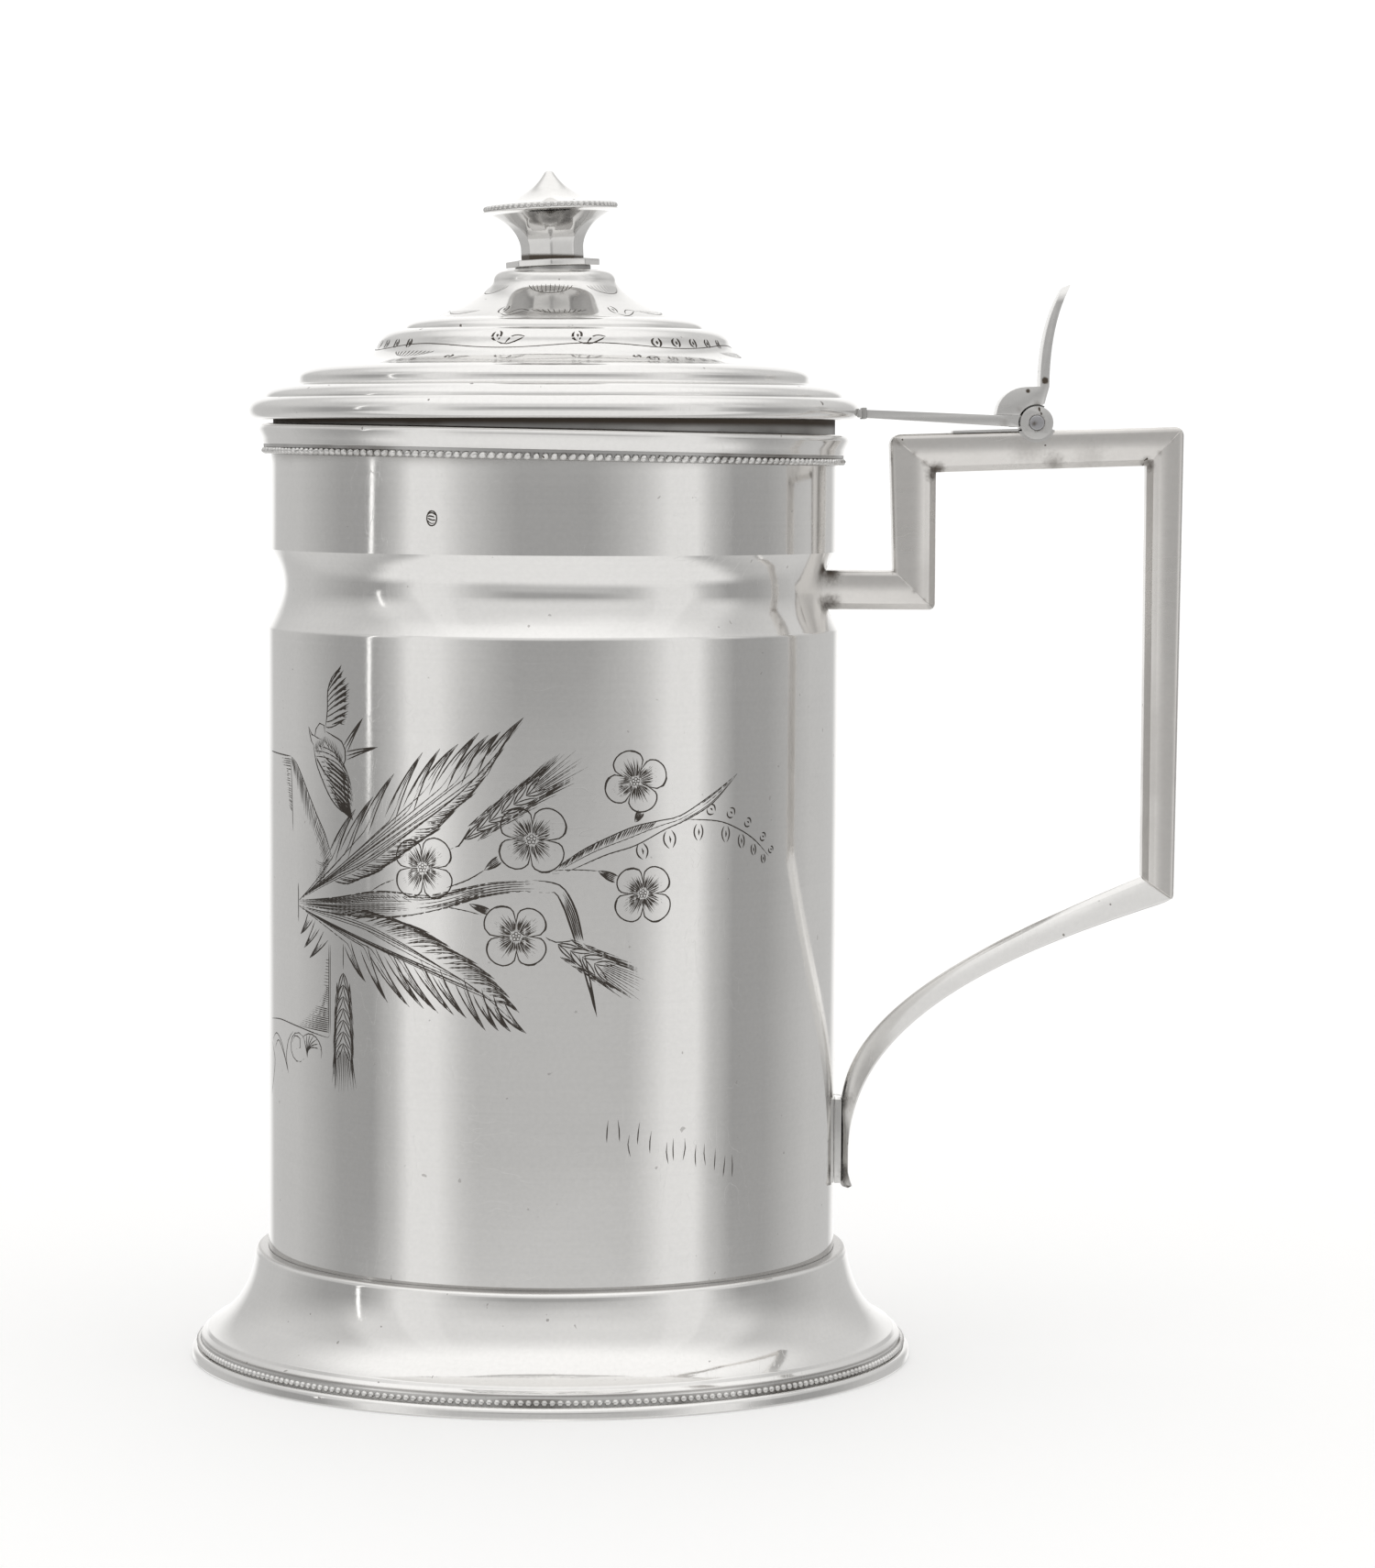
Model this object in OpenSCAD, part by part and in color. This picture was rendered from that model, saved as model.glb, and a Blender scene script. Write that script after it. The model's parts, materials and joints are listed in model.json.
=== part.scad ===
// A lidded tankard of soldered pewter: a raised drum on a spun foot, a beaded mouth,
// a mitred loop handle, and a stepped lid that swings on a pin above the handle.
// Origin at the centre of the base ring, on the table. +Z is up, the handle is at +X.

/* [Drum] */
// Outer radius of the drum below its groove
drum_r = 48; // [40:0.5:60]
// How much smaller the neck's radius is above the groove
neck_step = 0.5; // [0:0.1:1]
// Thickness of the drum's sheet
wall = 1; // [0.8:0.1:1.4]
// Height of the drum's upper end above the table
drum_top = 154; // [125:1:190]
// Distance from the drum's upper end down to the middle of the groove
groove_drop = 24.2; // [22:0.2:30]
// Depth of the groove
groove_depth = 2.35; // [1:0.05:3.4]
// Half of the groove's height
groove_half = 6.6; // [6:0.1:10]
// Thickness of the drum's floor
floor_t = 1.2; // [1:0.1:2]

/* [Foot] */
// Height of the foot, from the table to the drum's lower end
foot_h = 18; // [15:0.5:24]
// How far the base ring stands out beyond the drum
foot_out = 12.9; // [10:0.1:16]
// Height of the base ring
base_ring_h = 2; // [1.5:0.1:2.4]
// Height of the beaded wire on the base ring
foot_bead_h = 1.25; // [0.8:0.05:1.6]
// How far the foot's shoulder stands out beyond the drum
shoulder_out = 2.2; // [1.6:0.1:3]
// Thickness of the foot's spun skirt
skirt_t = 0.9; // [0.7:0.1:1.1]

/* [Mouth] */
// How far the mouth band rises above the drum's end, which seats the lid's bezel
lip_h = 2.7; // [2.4:0.1:4]
// How far the mouth band stands out beyond the neck
lip_out = 2.1; // [1.6:0.1:3]
// Height of the mouth band
band_h = 3.45; // [3:0.05:5]
// Height of the beaded wire under the mouth band
mouth_bead_h = 1.6; // [1:0.1:2]
// Slope of the hand-fitted mouth band towards the handle, in degrees
mouth_slope = 0.88; // [0:0.02:1]

/* [Lid] */
// Height of the lid's lower edge above the mouth, at the middle
lid_gap = 1.5; // [1.2:0.1:2]
// How far the lid's edge stands out beyond the mouth band
lid_over = 1.7; // [1:0.1:3]
// Tilt of the closed lid, hinge side up, in degrees
lid_lean = 0.24; // [0:0.02:0.3]
// Height of the lid's rolled edge
lid_rim_h = 3.75; // [3.2:0.05:5]
// Thickness of the lid's spun sheet, measured straight down
lid_t = 0.9; // [0.7:0.1:1.2]
// Width of the lower rounded step
step_a_w = 4.6; // [3:0.1:6]
// Height of the lower rounded step
step_a_h = 2.1; // [1.5:0.1:3]
// Width of the upper rounded step
step_b_w = 5.6; // [4:0.1:7]
// Height of the upper rounded step
step_b_h = 2.2; // [1.5:0.1:3]
// Outer radius of the flat-topped ring around the bell
ring_r = 25; // [22:0.5:27]
// Outer radius of the flared foot of the bell that carries the finial
bell_r = 20.5; // [18:0.1:21.5]
// Height from the lid's lower edge to the flat top of the bell
lid_h = 25.1; // [23:0.1:30]
// Depth of the bezel below the lid's lower edge
bezel_drop = 3.6; // [3:0.1:3.7]
// Gap between the bezel and the mouth band
bezel_gap = 0.4; // [0.35:0.05:0.8]
// Thickness of the bezel
bezel_t = 0.8; // [0.6:0.1:1.2]

/* [Finial] */
// Radius of the finial's octagonal stem, across its corners
stem_r = 5.26; // [4.5:0.02:6]
// Height of the stem from its plate to the table of the finial
stem_h = 7.8; // [6:0.1:10]
// Radius of the finial's round table
table_r = 11.46; // [10:0.02:13]
// Height of the pointed cap above the table
cap_h = 6.6; // [4:0.1:8]
// How far the finial was soldered off the lid's centre
finial_off = -0.25; // [-1:0.05:1]
// Tilt of the finial on the lid, hinge side up, in degrees
finial_lean = 2.4; // [0:0.1:3]
// Radius of the stud inside the finial
stud_r = 1.5; // [1.2:0.1:1.8]

/* [Handle] */
// How far the grip's outer face stands out from the drum
handle_out = 57.7; // [48:0.1:70]
// Width of the handle from side to side
handle_w = 8; // [7:0.2:11]
// Thickness of the handle's bars, from outer to inner face
bar_t = 6.3; // [5.5:0.1:7.5]
// How far the riser's outer face stands out from the drum
riser_out = 8.36; // [7:0.02:10]
// Thickness of the riser at its top
riser_t = 7.85; // [7:0.05:9]
// Thickness of the grip at its lower end
grip_t = 5.3; // [4.8:0.1:6.2]
// Height of the grip's lower corner above the table
grip_low = 78; // [70:0.2:84]
// Height of the tail's toe above the table
toe_low = 28.6; // [26:0.2:34]
// Thickness of the pad soldered under the tail
pad_t = 1.1; // [0.8:0.1:1.6]

/* [Hinge] */
// Distance of the hinge pin from the drum
hinge_out = 32.9; // [28:0.1:38]
// Outer radius of the hinge knuckles
knuckle_r = 2.77; // [2.5:0.01:3]
// Radius of the hinge pin
pin_r = 1.23; // [1:0.01:1.4]
// Width of the whole hinge barrel
barrel_w = 9; // [8:0.2:11]
// Width of the lid's middle knuckle
lid_knuckle_w = 3.6; // [3:0.1:4.4]
// Clearance between the turning parts of the hinge, side to side
hinge_gap = 0.25; // [0.2:0.05:0.4]
// Thickness of the lid's arm at the lid
arm_t = 1.3; // [1.1:0.1:1.6]
// Width of the lid's arm
arm_w = 8; // [7:0.2:9]
// Height of the thumb lever above the hinge pin
lever_h = 23.2; // [18:0.2:26]

/* [Hidden] */
$fn = 128;

pewter = [0.72, 0.72, 0.71];
dull_pewter = [0.6, 0.59, 0.57];
steel = [0.5, 0.5, 0.52];

seam = 0.05;       // hair gap that solder fills between two round pieces
pin_play = 0.04;   // running clearance around the hinge pin, on the radius
far = 400;         // longer than the whole object, for cutting blocks
curve_n = 12;      // straight pieces in a short curve
long_n = 28;       // straight pieces in a long curve

neck_r = drum_r - neck_step;
groove_z = drum_top - groove_drop;
mouth_z = drum_top + lip_h;
mouth_bore = neck_r + seam + (band_h + mouth_bead_h) * sin(mouth_slope);
lip_r = neck_r + lip_out;
lid_z = mouth_z + lid_gap;
lid_r = lip_r + lid_over;

// ---- curves ----
function quarter(c, a, b, from, to, n = curve_n) =
    [for (i = [0:n]) let (t = from + (to - from) * i / n) c + [a * cos(t), b * sin(t)]];
function bend(p, q, s, n = curve_n) =
    [for (i = [0:n]) let (t = i / n) (1 - t) * (1 - t) * p + 2 * t * (1 - t) * q + t * t * s];
function sweep4(p, q, r, s, n = long_n) =
    [for (i = [0:n]) let (t = i / n, u = 1 - t)
        u * u * u * p + 3 * u * u * t * q + 3 * u * t * t * r + t * t * t * s];
function reversed(pts) = [for (i = [len(pts) - 1:-1:0]) pts[i]];
function moved(pts, by) = [for (p = pts) p + by];

// ---- drum ----
// The groove is cut into a wall that steps in to the neck, and is steeper above its middle.
function groove_bite(t) = abs(t) < 1 ? groove_depth * (1 - pow(abs(t), t > 0 ? 2.1 : 1.6)) : 0;
function drum_r_at(z) =
    let (t = (z - groove_z) / groove_half)
    drum_r - neck_step * min(1, max(0, (t + 1) / 2)) - groove_bite(t);
groove_n = 20;
drum_side = concat([[drum_r, foot_h]],
    [for (i = [0:groove_n])
        let (z = groove_z + groove_half * (2 * i / groove_n - 1)) [drum_r_at(z), z]],
    [[neck_r, drum_top]]);

module drum_solid(grow = 0) {
    rotate_extrude() polygon(concat([[0, foot_h]], moved(drum_side, [grow, 0]), [[0, drum_top]]));
}

module drum() {
    color(pewter) rotate_extrude()
        polygon(concat(drum_side, reversed(moved(drum_side, [-wall, 0]))));
}

module drum_floor() {
    color(dull_pewter) translate([0, 0, foot_h]) cylinder(h = floor_t, r = drum_r - wall - seam);
}

// ---- foot ----
foot_r = drum_r + foot_out;
bead_top = base_ring_h + foot_bead_h;
collar_h = 0.55;                 // the shoulder laps this far up the drum
shelf_w = 4;                     // the shelf under the drum's end
lip_in = 2.5;                    // the skirt's lip stands this far inside the base ring's edge
skirt_low = [foot_r - 2.7, bead_top + 1.7];
skirt_high = [drum_r + shoulder_out, foot_h - 0.5];
skirt_curve = bend(skirt_low, [drum_r + shoulder_out + 1.4, foot_h * 0.45], skirt_high, long_n);

module foot_skirt() {
    outer = concat([[foot_r - 1.6, bead_top], [foot_r - 1.6, bead_top + 0.65],
        [foot_r - 2.4, bead_top + 1.15]], skirt_curve,
        quarter([drum_r + shoulder_out - 1, foot_h - 0.45], 1, collar_h + 0.45, 0, 90));
    shelf = [[drum_r + seam, foot_h + collar_h], [drum_r + seam, foot_h],
        [drum_r - shelf_w, foot_h], [drum_r - shelf_w, foot_h - skirt_t]];
    inner = concat([[skirt_high[0] - skirt_t, foot_h - skirt_t]],
        reversed(moved([for (i = [0:long_n - 2]) skirt_curve[i]], [-skirt_t, -skirt_t])));
    lip = [[foot_r - lip_in - 1, bead_top], [foot_r - lip_in - 1, base_ring_h],
        [foot_r - lip_in, base_ring_h], [foot_r - lip_in, bead_top]];
    color(pewter) rotate_extrude() polygon(concat(outer, shelf, inner, lip));
}

module foot_beading() {
    inner_r = foot_r - lip_in + seam;
    outer_r = foot_r - 0.65;
    half = foot_bead_h / 2;
    color(pewter) rotate_extrude() polygon(concat(
        [[inner_r, base_ring_h]],
        quarter([outer_r - half, base_ring_h + half], half, half, -90, 90),
        [[inner_r, bead_top]]));
}

module base_ring() {
    inner_r = foot_r - lip_in - 1.4;
    edge = 0.9;
    color(pewter) rotate_extrude() polygon(concat(
        [[inner_r, 0], [foot_r - 0.3, 0], [foot_r, 0.3], [foot_r, base_ring_h - edge]],
        quarter([foot_r - edge, base_ring_h - edge], edge, edge, 0, 90),
        [[inner_r, base_ring_h]]));
}

// ---- mouth ----
// The mouth pieces share a frame whose zero height is the top of the lip.
module at_mouth() {
    translate([0, 0, mouth_z]) rotate([0, mouth_slope, 0]) children();
}

module mouth_band() {
    foot_edge = lip_r - 0.74;
    roll = 0.9;
    color(pewter) at_mouth() rotate_extrude() polygon(concat(
        [[mouth_bore, -band_h], [foot_edge, -band_h], [foot_edge + 0.14, 0.3 - band_h * 0.8]],
        quarter([lip_r - roll, -roll - 0.2], roll, roll + 0.2, 0, 90),
        [[mouth_bore + 0.3, 0], [mouth_bore, -0.3]]));
}

module mouth_beading() {
    outer_r = lip_r - 0.5;
    half = mouth_bead_h / 2;
    color(pewter) at_mouth() rotate_extrude() polygon(concat(
        [[mouth_bore, -band_h - mouth_bead_h]],
        quarter([outer_r - half, -band_h - half], half, half, -90, 90),
        [[mouth_bore, -band_h]]));
}

// ---- lid ----
// The lid's pieces share a frame whose zero height is the lid's lower edge.
module at_lid() {
    translate([0, 0, lid_z]) rotate([0, -lid_lean, 0]) children();
}

bezel_r = mouth_bore - bezel_gap;
shell_r = lid_r - 2.75;          // where the spun sheet meets the rolled edge
shelf_z = lid_rim_h - 1.15;      // the sheet's edge stands on this shelf of the rolled edge
crown_z = 1.55;                  // height of the rolled edge's widest line
step_b_r = shell_r - step_a_w - 1.05;
step_b_z = lid_rim_h + step_a_h + 1.15;
cove_r = step_b_r - step_b_w;
cove_z = step_b_z + step_b_h;
ring_z = lid_h - 9.9;
bell_z = lid_h - 8.1;
shoulder_r = 10.3;               // radius of the bell just under its rounded top
shoulder_z = lid_h - 1.9;
sheet_side = 0.5;                // the sheet's thickness, measured sideways
rolled_side = concat(quarter([lid_r - 1.3, crown_z], 1.3, crown_z, -90, 0),
    quarter([shell_r + seam, crown_z], lid_r - shell_r - seam, lid_rim_h - crown_z, 0, 90));
lid_side = concat(
    quarter([shell_r - step_a_w, lid_rim_h], step_a_w, step_a_h, 0, 90),
    bend([shell_r - step_a_w - 0.3, step_b_z - 1.15], [step_b_r, step_b_z - 1.15],
        [step_b_r, step_b_z], 4),
    quarter([cove_r, step_b_z], step_b_w, step_b_h, 3, 90),
    bend([cove_r - 0.6, cove_z], [ring_r + 5, cove_z + 1], [ring_r + 4.3, ring_z - 1.9]),
    bend([ring_r + 4.1, ring_z - 1.6], [ring_r + 3, ring_z - 0.1], [ring_r + 0.4, ring_z]),
    quarter([bell_r, ring_z], ring_r - bell_r, bell_z - ring_z, 0, 90),
    sweep4([bell_r - 0.3, bell_z], [bell_r - 3, bell_z + 1.6], [shoulder_r + 1.5, bell_z + 3.4],
        [shoulder_r, shoulder_z]),
    quarter([shoulder_r - 1.9, shoulder_z], 1.9, 1.9, 8, 90));

module lid_shell() {
    outer = concat([[shell_r, shelf_z]], lid_side, [[0, lid_h]]);
    inner = concat([[0, lid_h - lid_t]],
        reversed([for (p = lid_side) p - [sheet_side, lid_t]]), [[shell_r - sheet_side, shelf_z]]);
    color(pewter) at_lid() difference() {
        rotate_extrude() polygon(concat(outer, inner));
        translate([finial_off, 0, 0]) cylinder(h = 2 * lid_h, r = stud_r + seam);
    }
}

module rolled_solid() {
    rotate_extrude() polygon(concat([[0, 0]], rolled_side, [[0, lid_rim_h]]));
}

module lid_rim() {
    color(pewter) at_lid() rotate_extrude() polygon(concat(
        [[bezel_r + seam, 0.3]], rolled_side,
        [[shell_r + seam, shelf_z], [bezel_r + seam, shelf_z]]));
}

module lid_bezel() {
    color(dull_pewter) at_lid() translate([0, 0, -bezel_drop]) difference() {
        cylinder(h = bezel_drop + shelf_z, r = bezel_r);
        translate([0, 0, -1]) cylinder(h = far, r = bezel_r - bezel_t);
    }
}

// ---- finial ----
// The stud stands square on the flat top of the bell, and the finial leans round it.
module at_stud() {
    at_lid() translate([finial_off, 0, lid_h]) children();
}

module at_finial() {
    at_stud() rotate([0, -finial_lean, 0]) children();
}

collar_r = 6.35;
collar_t = 0.6;
plate_r = 7.9;
plate_t = 1.1;
stem_z = collar_t + plate_t;
table_z = stem_z + stem_h;
table_t = 0.6;
bead_ring_h = 0.95;
flare = 4.6;                     // how far the stem spreads out under the table
half_turn = 22.5;                // half the angle between two faces of an octagon
stud_depth = 5;                  // the stud reaches this far up into the stem
washer_t = 0.7;
nut_t = 2.2;

module stud_hole() {
    at_stud() translate([0, 0, -far / 2]) cylinder(h = far, r = stud_r + seam);
}

// The collar is a wedge that takes up the finial's lean.
module finial_collar() {
    color(pewter) difference() {
        at_finial() translate([0, 0, -1]) cylinder(h = collar_t + 1, r = collar_r);
        at_stud() translate([-far / 2, -far / 2, -far]) cube(far);
        stud_hole();
    }
}

module finial_plate() {
    color(pewter) difference() {
        at_finial() translate([0, 0, collar_t]) cylinder(h = plate_t, r = plate_r, $fn = 8);
        stud_hole();
    }
}

// Four crossed slabs with the same waisted outline leave an octagonal stem.
module finial_stem() {
    outline = concat([[stem_r, stem_z]],
        bend([stem_r, stem_z + stem_h * 0.28], [stem_r + 0.3, stem_z + stem_h * 0.72],
            [stem_r + flare, table_z]));
    side = [for (p = outline) [p[0] * cos(half_turn), p[1]]];
    color(pewter) difference() {
        at_finial() intersection_for (k = [0:3]) rotate(half_turn + 45 * k) rotate([90, 0, 0])
            linear_extrude(4 * table_r, center = true)
            polygon(concat(side, reversed([for (p = side) [-p[0], p[1]]])));
        at_stud() cylinder(h = stem_z + stud_depth + 0.2, r = stud_r + seam);
    }
}

module finial_cap() {
    rise = table_z + table_t;
    tip_r = 0.8;
    color(pewter) at_finial() rotate_extrude() polygon(concat(
        [[0, table_z], [stem_r + flare, table_z], [table_r, rise - 0.15], [table_r - 0.1, rise]],
        [[table_r - 1.3, rise], [table_r - 1.3, rise + bead_ring_h * 0.8]],
        bend([table_r - 1.8, rise + bead_ring_h], [3.05, rise + cap_h * 0.38],
            [tip_r, rise + cap_h - 0.4]),
        [[0, rise + cap_h]]));
}

module finial_beading() {
    round_r = 0.65;
    color(pewter) at_finial() translate([0, 0, table_z + table_t]) rotate_extrude()
        polygon(concat([[table_r - 1.25, 0], [table_r - 0.15, 0]],
            quarter([table_r - 0.15 - round_r, bead_ring_h - round_r], round_r, round_r, 0, 90),
            [[table_r - 1.25, bead_ring_h]]));
}

module finial_stud() {
    color(steel) at_stud() translate([0, 0, -lid_t - washer_t - nut_t - 0.8])
        cylinder(h = lid_t + washer_t + nut_t + 0.8 + stem_z + stud_depth, r = stud_r);
}

module finial_washer() {
    color(steel) difference() {
        at_stud() translate([0, 0, -lid_t - washer_t]) cylinder(h = washer_t, r = 4);
        stud_hole();
    }
}

module finial_nut() {
    color(steel) difference() {
        at_stud() translate([0, 0, -lid_t - washer_t - nut_t]) cylinder(h = nut_t, r = 3.2, $fn = 6);
        stud_hole();
    }
}

// ---- handle ----
// Corners of the handle as [x, z], the outer one first at each corner.
top_fore = [drum_r + riser_out, mouth_z - 0.6];
top_back = [drum_r + handle_out, mouth_z + 1];
under_fore = [top_fore[0] + riser_t, top_fore[1] - bar_t];
under_back = [top_back[0] - grip_t - 0.8, top_back[1] - bar_t - 0.3];
low_back = [top_back[0] - 0.8, grip_low];
low_inner = [low_back[0] - grip_t, grip_low + 3.8];
stub_top = groove_z + 3.45;
stub_low = groove_z - 3.1;
riser_foot = [top_fore[0] + 0.8, stub_top];
riser_inner = [under_fore[0], stub_low];
inner_face_w = 4;                // width of the bars' flat inner face
facet_a = 1.1;                   // depth of the first facet beside the inner face
facet_b = 1.95;                  // depth of the second facet

module slab(outline, w) {
    rotate([90, 0, 0]) linear_extrude(w, center = true) polygon(outline);
}

// A bar with a bevelled inner face that runs from a to b, mitred by its outline.
module bar(outline, a, b) {
    spare = 15;
    length = norm(b - a) + 2 * spare;
    half = handle_w / 2;
    flat = inner_face_w / 2;
    deep = 2 * bar_t;
    intersection() {
        slab(outline, 2 * handle_w);
        translate([a[0], 0, a[1]]) rotate([0, -atan2(b[1] - a[1], b[0] - a[0]), 0])
            translate([-spare, 0, 0]) rotate([90, 0, 90]) linear_extrude(length)
            polygon([[-flat, 0], [flat, 0], [half - 0.9, facet_a], [half - 0.4, facet_b],
                [half, facet_b + 1.6], [half, deep], [-half, deep], [-half, facet_b + 1.6],
                [0.4 - half, facet_b], [0.9 - half, facet_a]]);
    }
}

module handle_stub() {
    color(pewter) difference() {
        bar([[drum_r - 2 * groove_depth, stub_top], riser_foot, riser_inner,
            [drum_r - 2 * groove_depth, stub_low]],
            [drum_r - 2 * groove_depth, stub_low], riser_inner);
        drum_solid(seam);
    }
}

module handle_riser() {
    color(pewter) bar([riser_foot, top_fore, under_fore, riser_inner], riser_inner, under_fore);
}

hinge_x = drum_r + hinge_out;
bar_slope = (top_back[1] - top_fore[1]) / (top_back[0] - top_fore[0]);
bar_top_at_hinge = top_fore[1] + bar_slope * (hinge_x - top_fore[0]);
hinge_z = bar_top_at_hinge + 1.32;
relief_r = knuckle_r + 0.3;      // the hollow that clears the knuckles

module at_hinge() {
    translate([hinge_x, 0, hinge_z]) rotate([90, 0, 0]) children();
}

module handle_top_bar() {
    color(pewter) difference() {
        bar([top_fore, top_back, under_back, under_fore], under_fore, under_back);
        at_hinge() cylinder(h = far, r = relief_r, center = true);
    }
}

module handle_grip() {
    color(pewter) bar([top_back, low_back, low_inner, under_back], under_back, low_inner);
}

// The tail is a strap between two curves that ends in a small rounded toe on its pad.
tail_x = drum_r + pad_t;
pad_top = toe_low + 15.2;
pad_w = handle_w - 1.4;
tail_inner = sweep4(low_inner, [low_inner[0] - 23.6, grip_low - 6.3], [tail_x, pad_top + 16],
    [tail_x, pad_top - 1.8]);
tail_outer = sweep4(low_back, [low_back[0] - 28.2, grip_low - 9.2], [tail_x + 1.2, pad_top + 13.9],
    [tail_x + 1.2, toe_low + 6]);

module handle_tail() {
    toe = concat([[tail_x + 1.9, toe_low + 1.8]],
        quarter([tail_x + 0.9, toe_low + 1], 1, 1, 20, -90, 6), [[tail_x, toe_low + 0.3]]);
    color(pewter) slab(concat(tail_outer, toe, reversed(tail_inner)), handle_w - 0.8);
}

module tail_pad() {
    color(dull_pewter) difference() {
        translate([drum_r - 2, -pad_w / 2, toe_low + 0.9])
            cube([pad_t + 2, pad_w, pad_top - toe_low - 0.9]);
        translate([0, 0, toe_low]) cylinder(h = 20, r = drum_r + seam);
    }
}

// ---- hinge ----
leaf_t = 0.4;
leaf_x = hinge_x - 14;
ear_in = lid_knuckle_w / 2 + hinge_gap;

module leaf_ears(r) {
    for (side = [-1, 1]) translate([0, 0, side * (ear_in + barrel_w / 2) / 2])
        cylinder(h = barrel_w / 2 - ear_in, r = r, center = true);
}

// The fixed leaf lies on the top bar and carries the two outer knuckles.
module hinge_leaf() {
    leaf_low = top_fore[1] + bar_slope * (leaf_x - top_fore[0]);
    leaf_end = hinge_x;
    end_low = bar_top_at_hinge;
    color(dull_pewter) difference() {
        union() {
            difference() {
                slab([[leaf_x, leaf_low], [leaf_end, end_low], [leaf_end, end_low + leaf_t],
                    [leaf_x, leaf_low + leaf_t]], arm_w);
                at_hinge() cylinder(h = 2 * ear_in, r = relief_r, center = true);
            }
            at_hinge() leaf_ears(knuckle_r);
        }
        at_hinge() cylinder(h = far, r = pin_r + seam, center = true);
    }
}

module hinge_pin() {
    color(steel) at_hinge() cylinder(h = barrel_w + 0.8, r = pin_r, center = true);
}

arm_x = lid_r - 1.3;
arm_top = hinge_z + 1.24;
arm_rise = 0.85;                 // the arm's top falls this much from the lid to the lever
arm_drop = 0.7;                  // the arm ends this far below the pin's middle
boss_x = hinge_x - 6.8;
arm_low_end = [hinge_x - relief_r, hinge_z - arm_drop];
arm_outline = [[arm_x, arm_top + arm_rise], [boss_x, arm_top],
    [hinge_x - relief_r + 1.4, arm_top], arm_low_end, [arm_x, arm_top + arm_rise - arm_t]];

module lid_arm() {
    color(pewter) difference() {
        union() {
            difference() {
                slab(arm_outline, arm_w);
                at_hinge() cylinder(h = far, r = relief_r, center = true);
                at_lid() rolled_solid();
            }
            difference() {
                slab([[hinge_x - 4.4, arm_top], [hinge_x - 2, arm_top],
                    [hinge_x - 2, hinge_z - arm_drop], [hinge_x - 4.4, hinge_z - arm_drop]], lid_knuckle_w);
                at_hinge() cylinder(h = far, r = pin_r + 1, center = true);
            }
            at_hinge() cylinder(h = lid_knuckle_w, r = knuckle_r, center = true);
        }
        at_hinge() cylinder(h = far, r = pin_r + pin_play, center = true);
    }
}

module arm_collar() {
    collar_x = lid_r + 0.3;
    color(dull_pewter) difference() {
        translate([collar_x, -arm_w / 2 - 0.5, arm_top + arm_rise - arm_t - 0.3])
            cube([0.8, arm_w + 1, arm_t + 0.6]);
        slab(arm_outline, arm_w);
    }
}

// The lever's boss hoods the knuckles, and its blade bends back over the handle.
module thumb_lever() {
    boss_top = hinge_z + 6;
    boss_side = concat([[boss_x, arm_top + 0.1]],
        quarter([boss_x + 5.1, boss_top - 4.6], 5, 4.6, 175, 92, 8),
        [[hinge_x + 0.5, boss_top + 0.1]]);
    blade_front = bend([hinge_x + 0.55, boss_top + 0.2], [hinge_x + 0.5, hinge_z + lever_h * 0.7],
        [hinge_x + 4.3, hinge_z + lever_h - 0.5]);
    blade_back = bend([hinge_x + 5.6, hinge_z + lever_h], [hinge_x + 2.1, hinge_z + lever_h * 0.73],
        [hinge_x + 2.05, boss_top]);
    heel = [[hinge_x + 1.3, hinge_z + 3.2], [hinge_x - relief_r + 1.3, arm_top]];
    corner = 3;
    color(pewter) difference() {
        intersection() {
            slab(concat(boss_side, blade_front, blade_back, heel), arm_w);
            translate([boss_x - 1, 0, 0]) rotate([90, 0, 90]) linear_extrude(20) polygon(concat(
                [[-arm_w / 2, hinge_z], [arm_w / 2, hinge_z]],
                quarter([arm_w / 2 - corner, hinge_z + lever_h - corner], corner, corner, 0, 90),
                quarter([corner - arm_w / 2, hinge_z + lever_h - corner], corner, corner, 90, 180)));
        }
        at_hinge() cylinder(h = far, r = relief_r, center = true);
    }
}

drum();
drum_floor();
foot_skirt();
foot_beading();
base_ring();
mouth_band();
mouth_beading();
handle_stub();
handle_riser();
handle_top_bar();
handle_grip();
handle_tail();
tail_pad();
hinge_leaf();
hinge_pin();
lid_shell();
lid_rim();
lid_bezel();
arm_collar();
lid_arm();
thumb_lever();
finial_collar();
finial_plate();
finial_stem();
finial_beading();
finial_cap();
finial_stud();
finial_washer();
finial_nut();
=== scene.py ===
"""The looks of a lidded pewter tankard, built round its CAD frame.

Lengths are in millimetres until a mesh is made, and then in metres. +Z is up, the handle is at +X.
"""
import json
import math
import random

import bmesh
import bpy
from bpy.props import FloatProperty, FloatVectorProperty, IntProperty, PointerProperty
from mathutils import Matrix, Vector, noise


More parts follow.
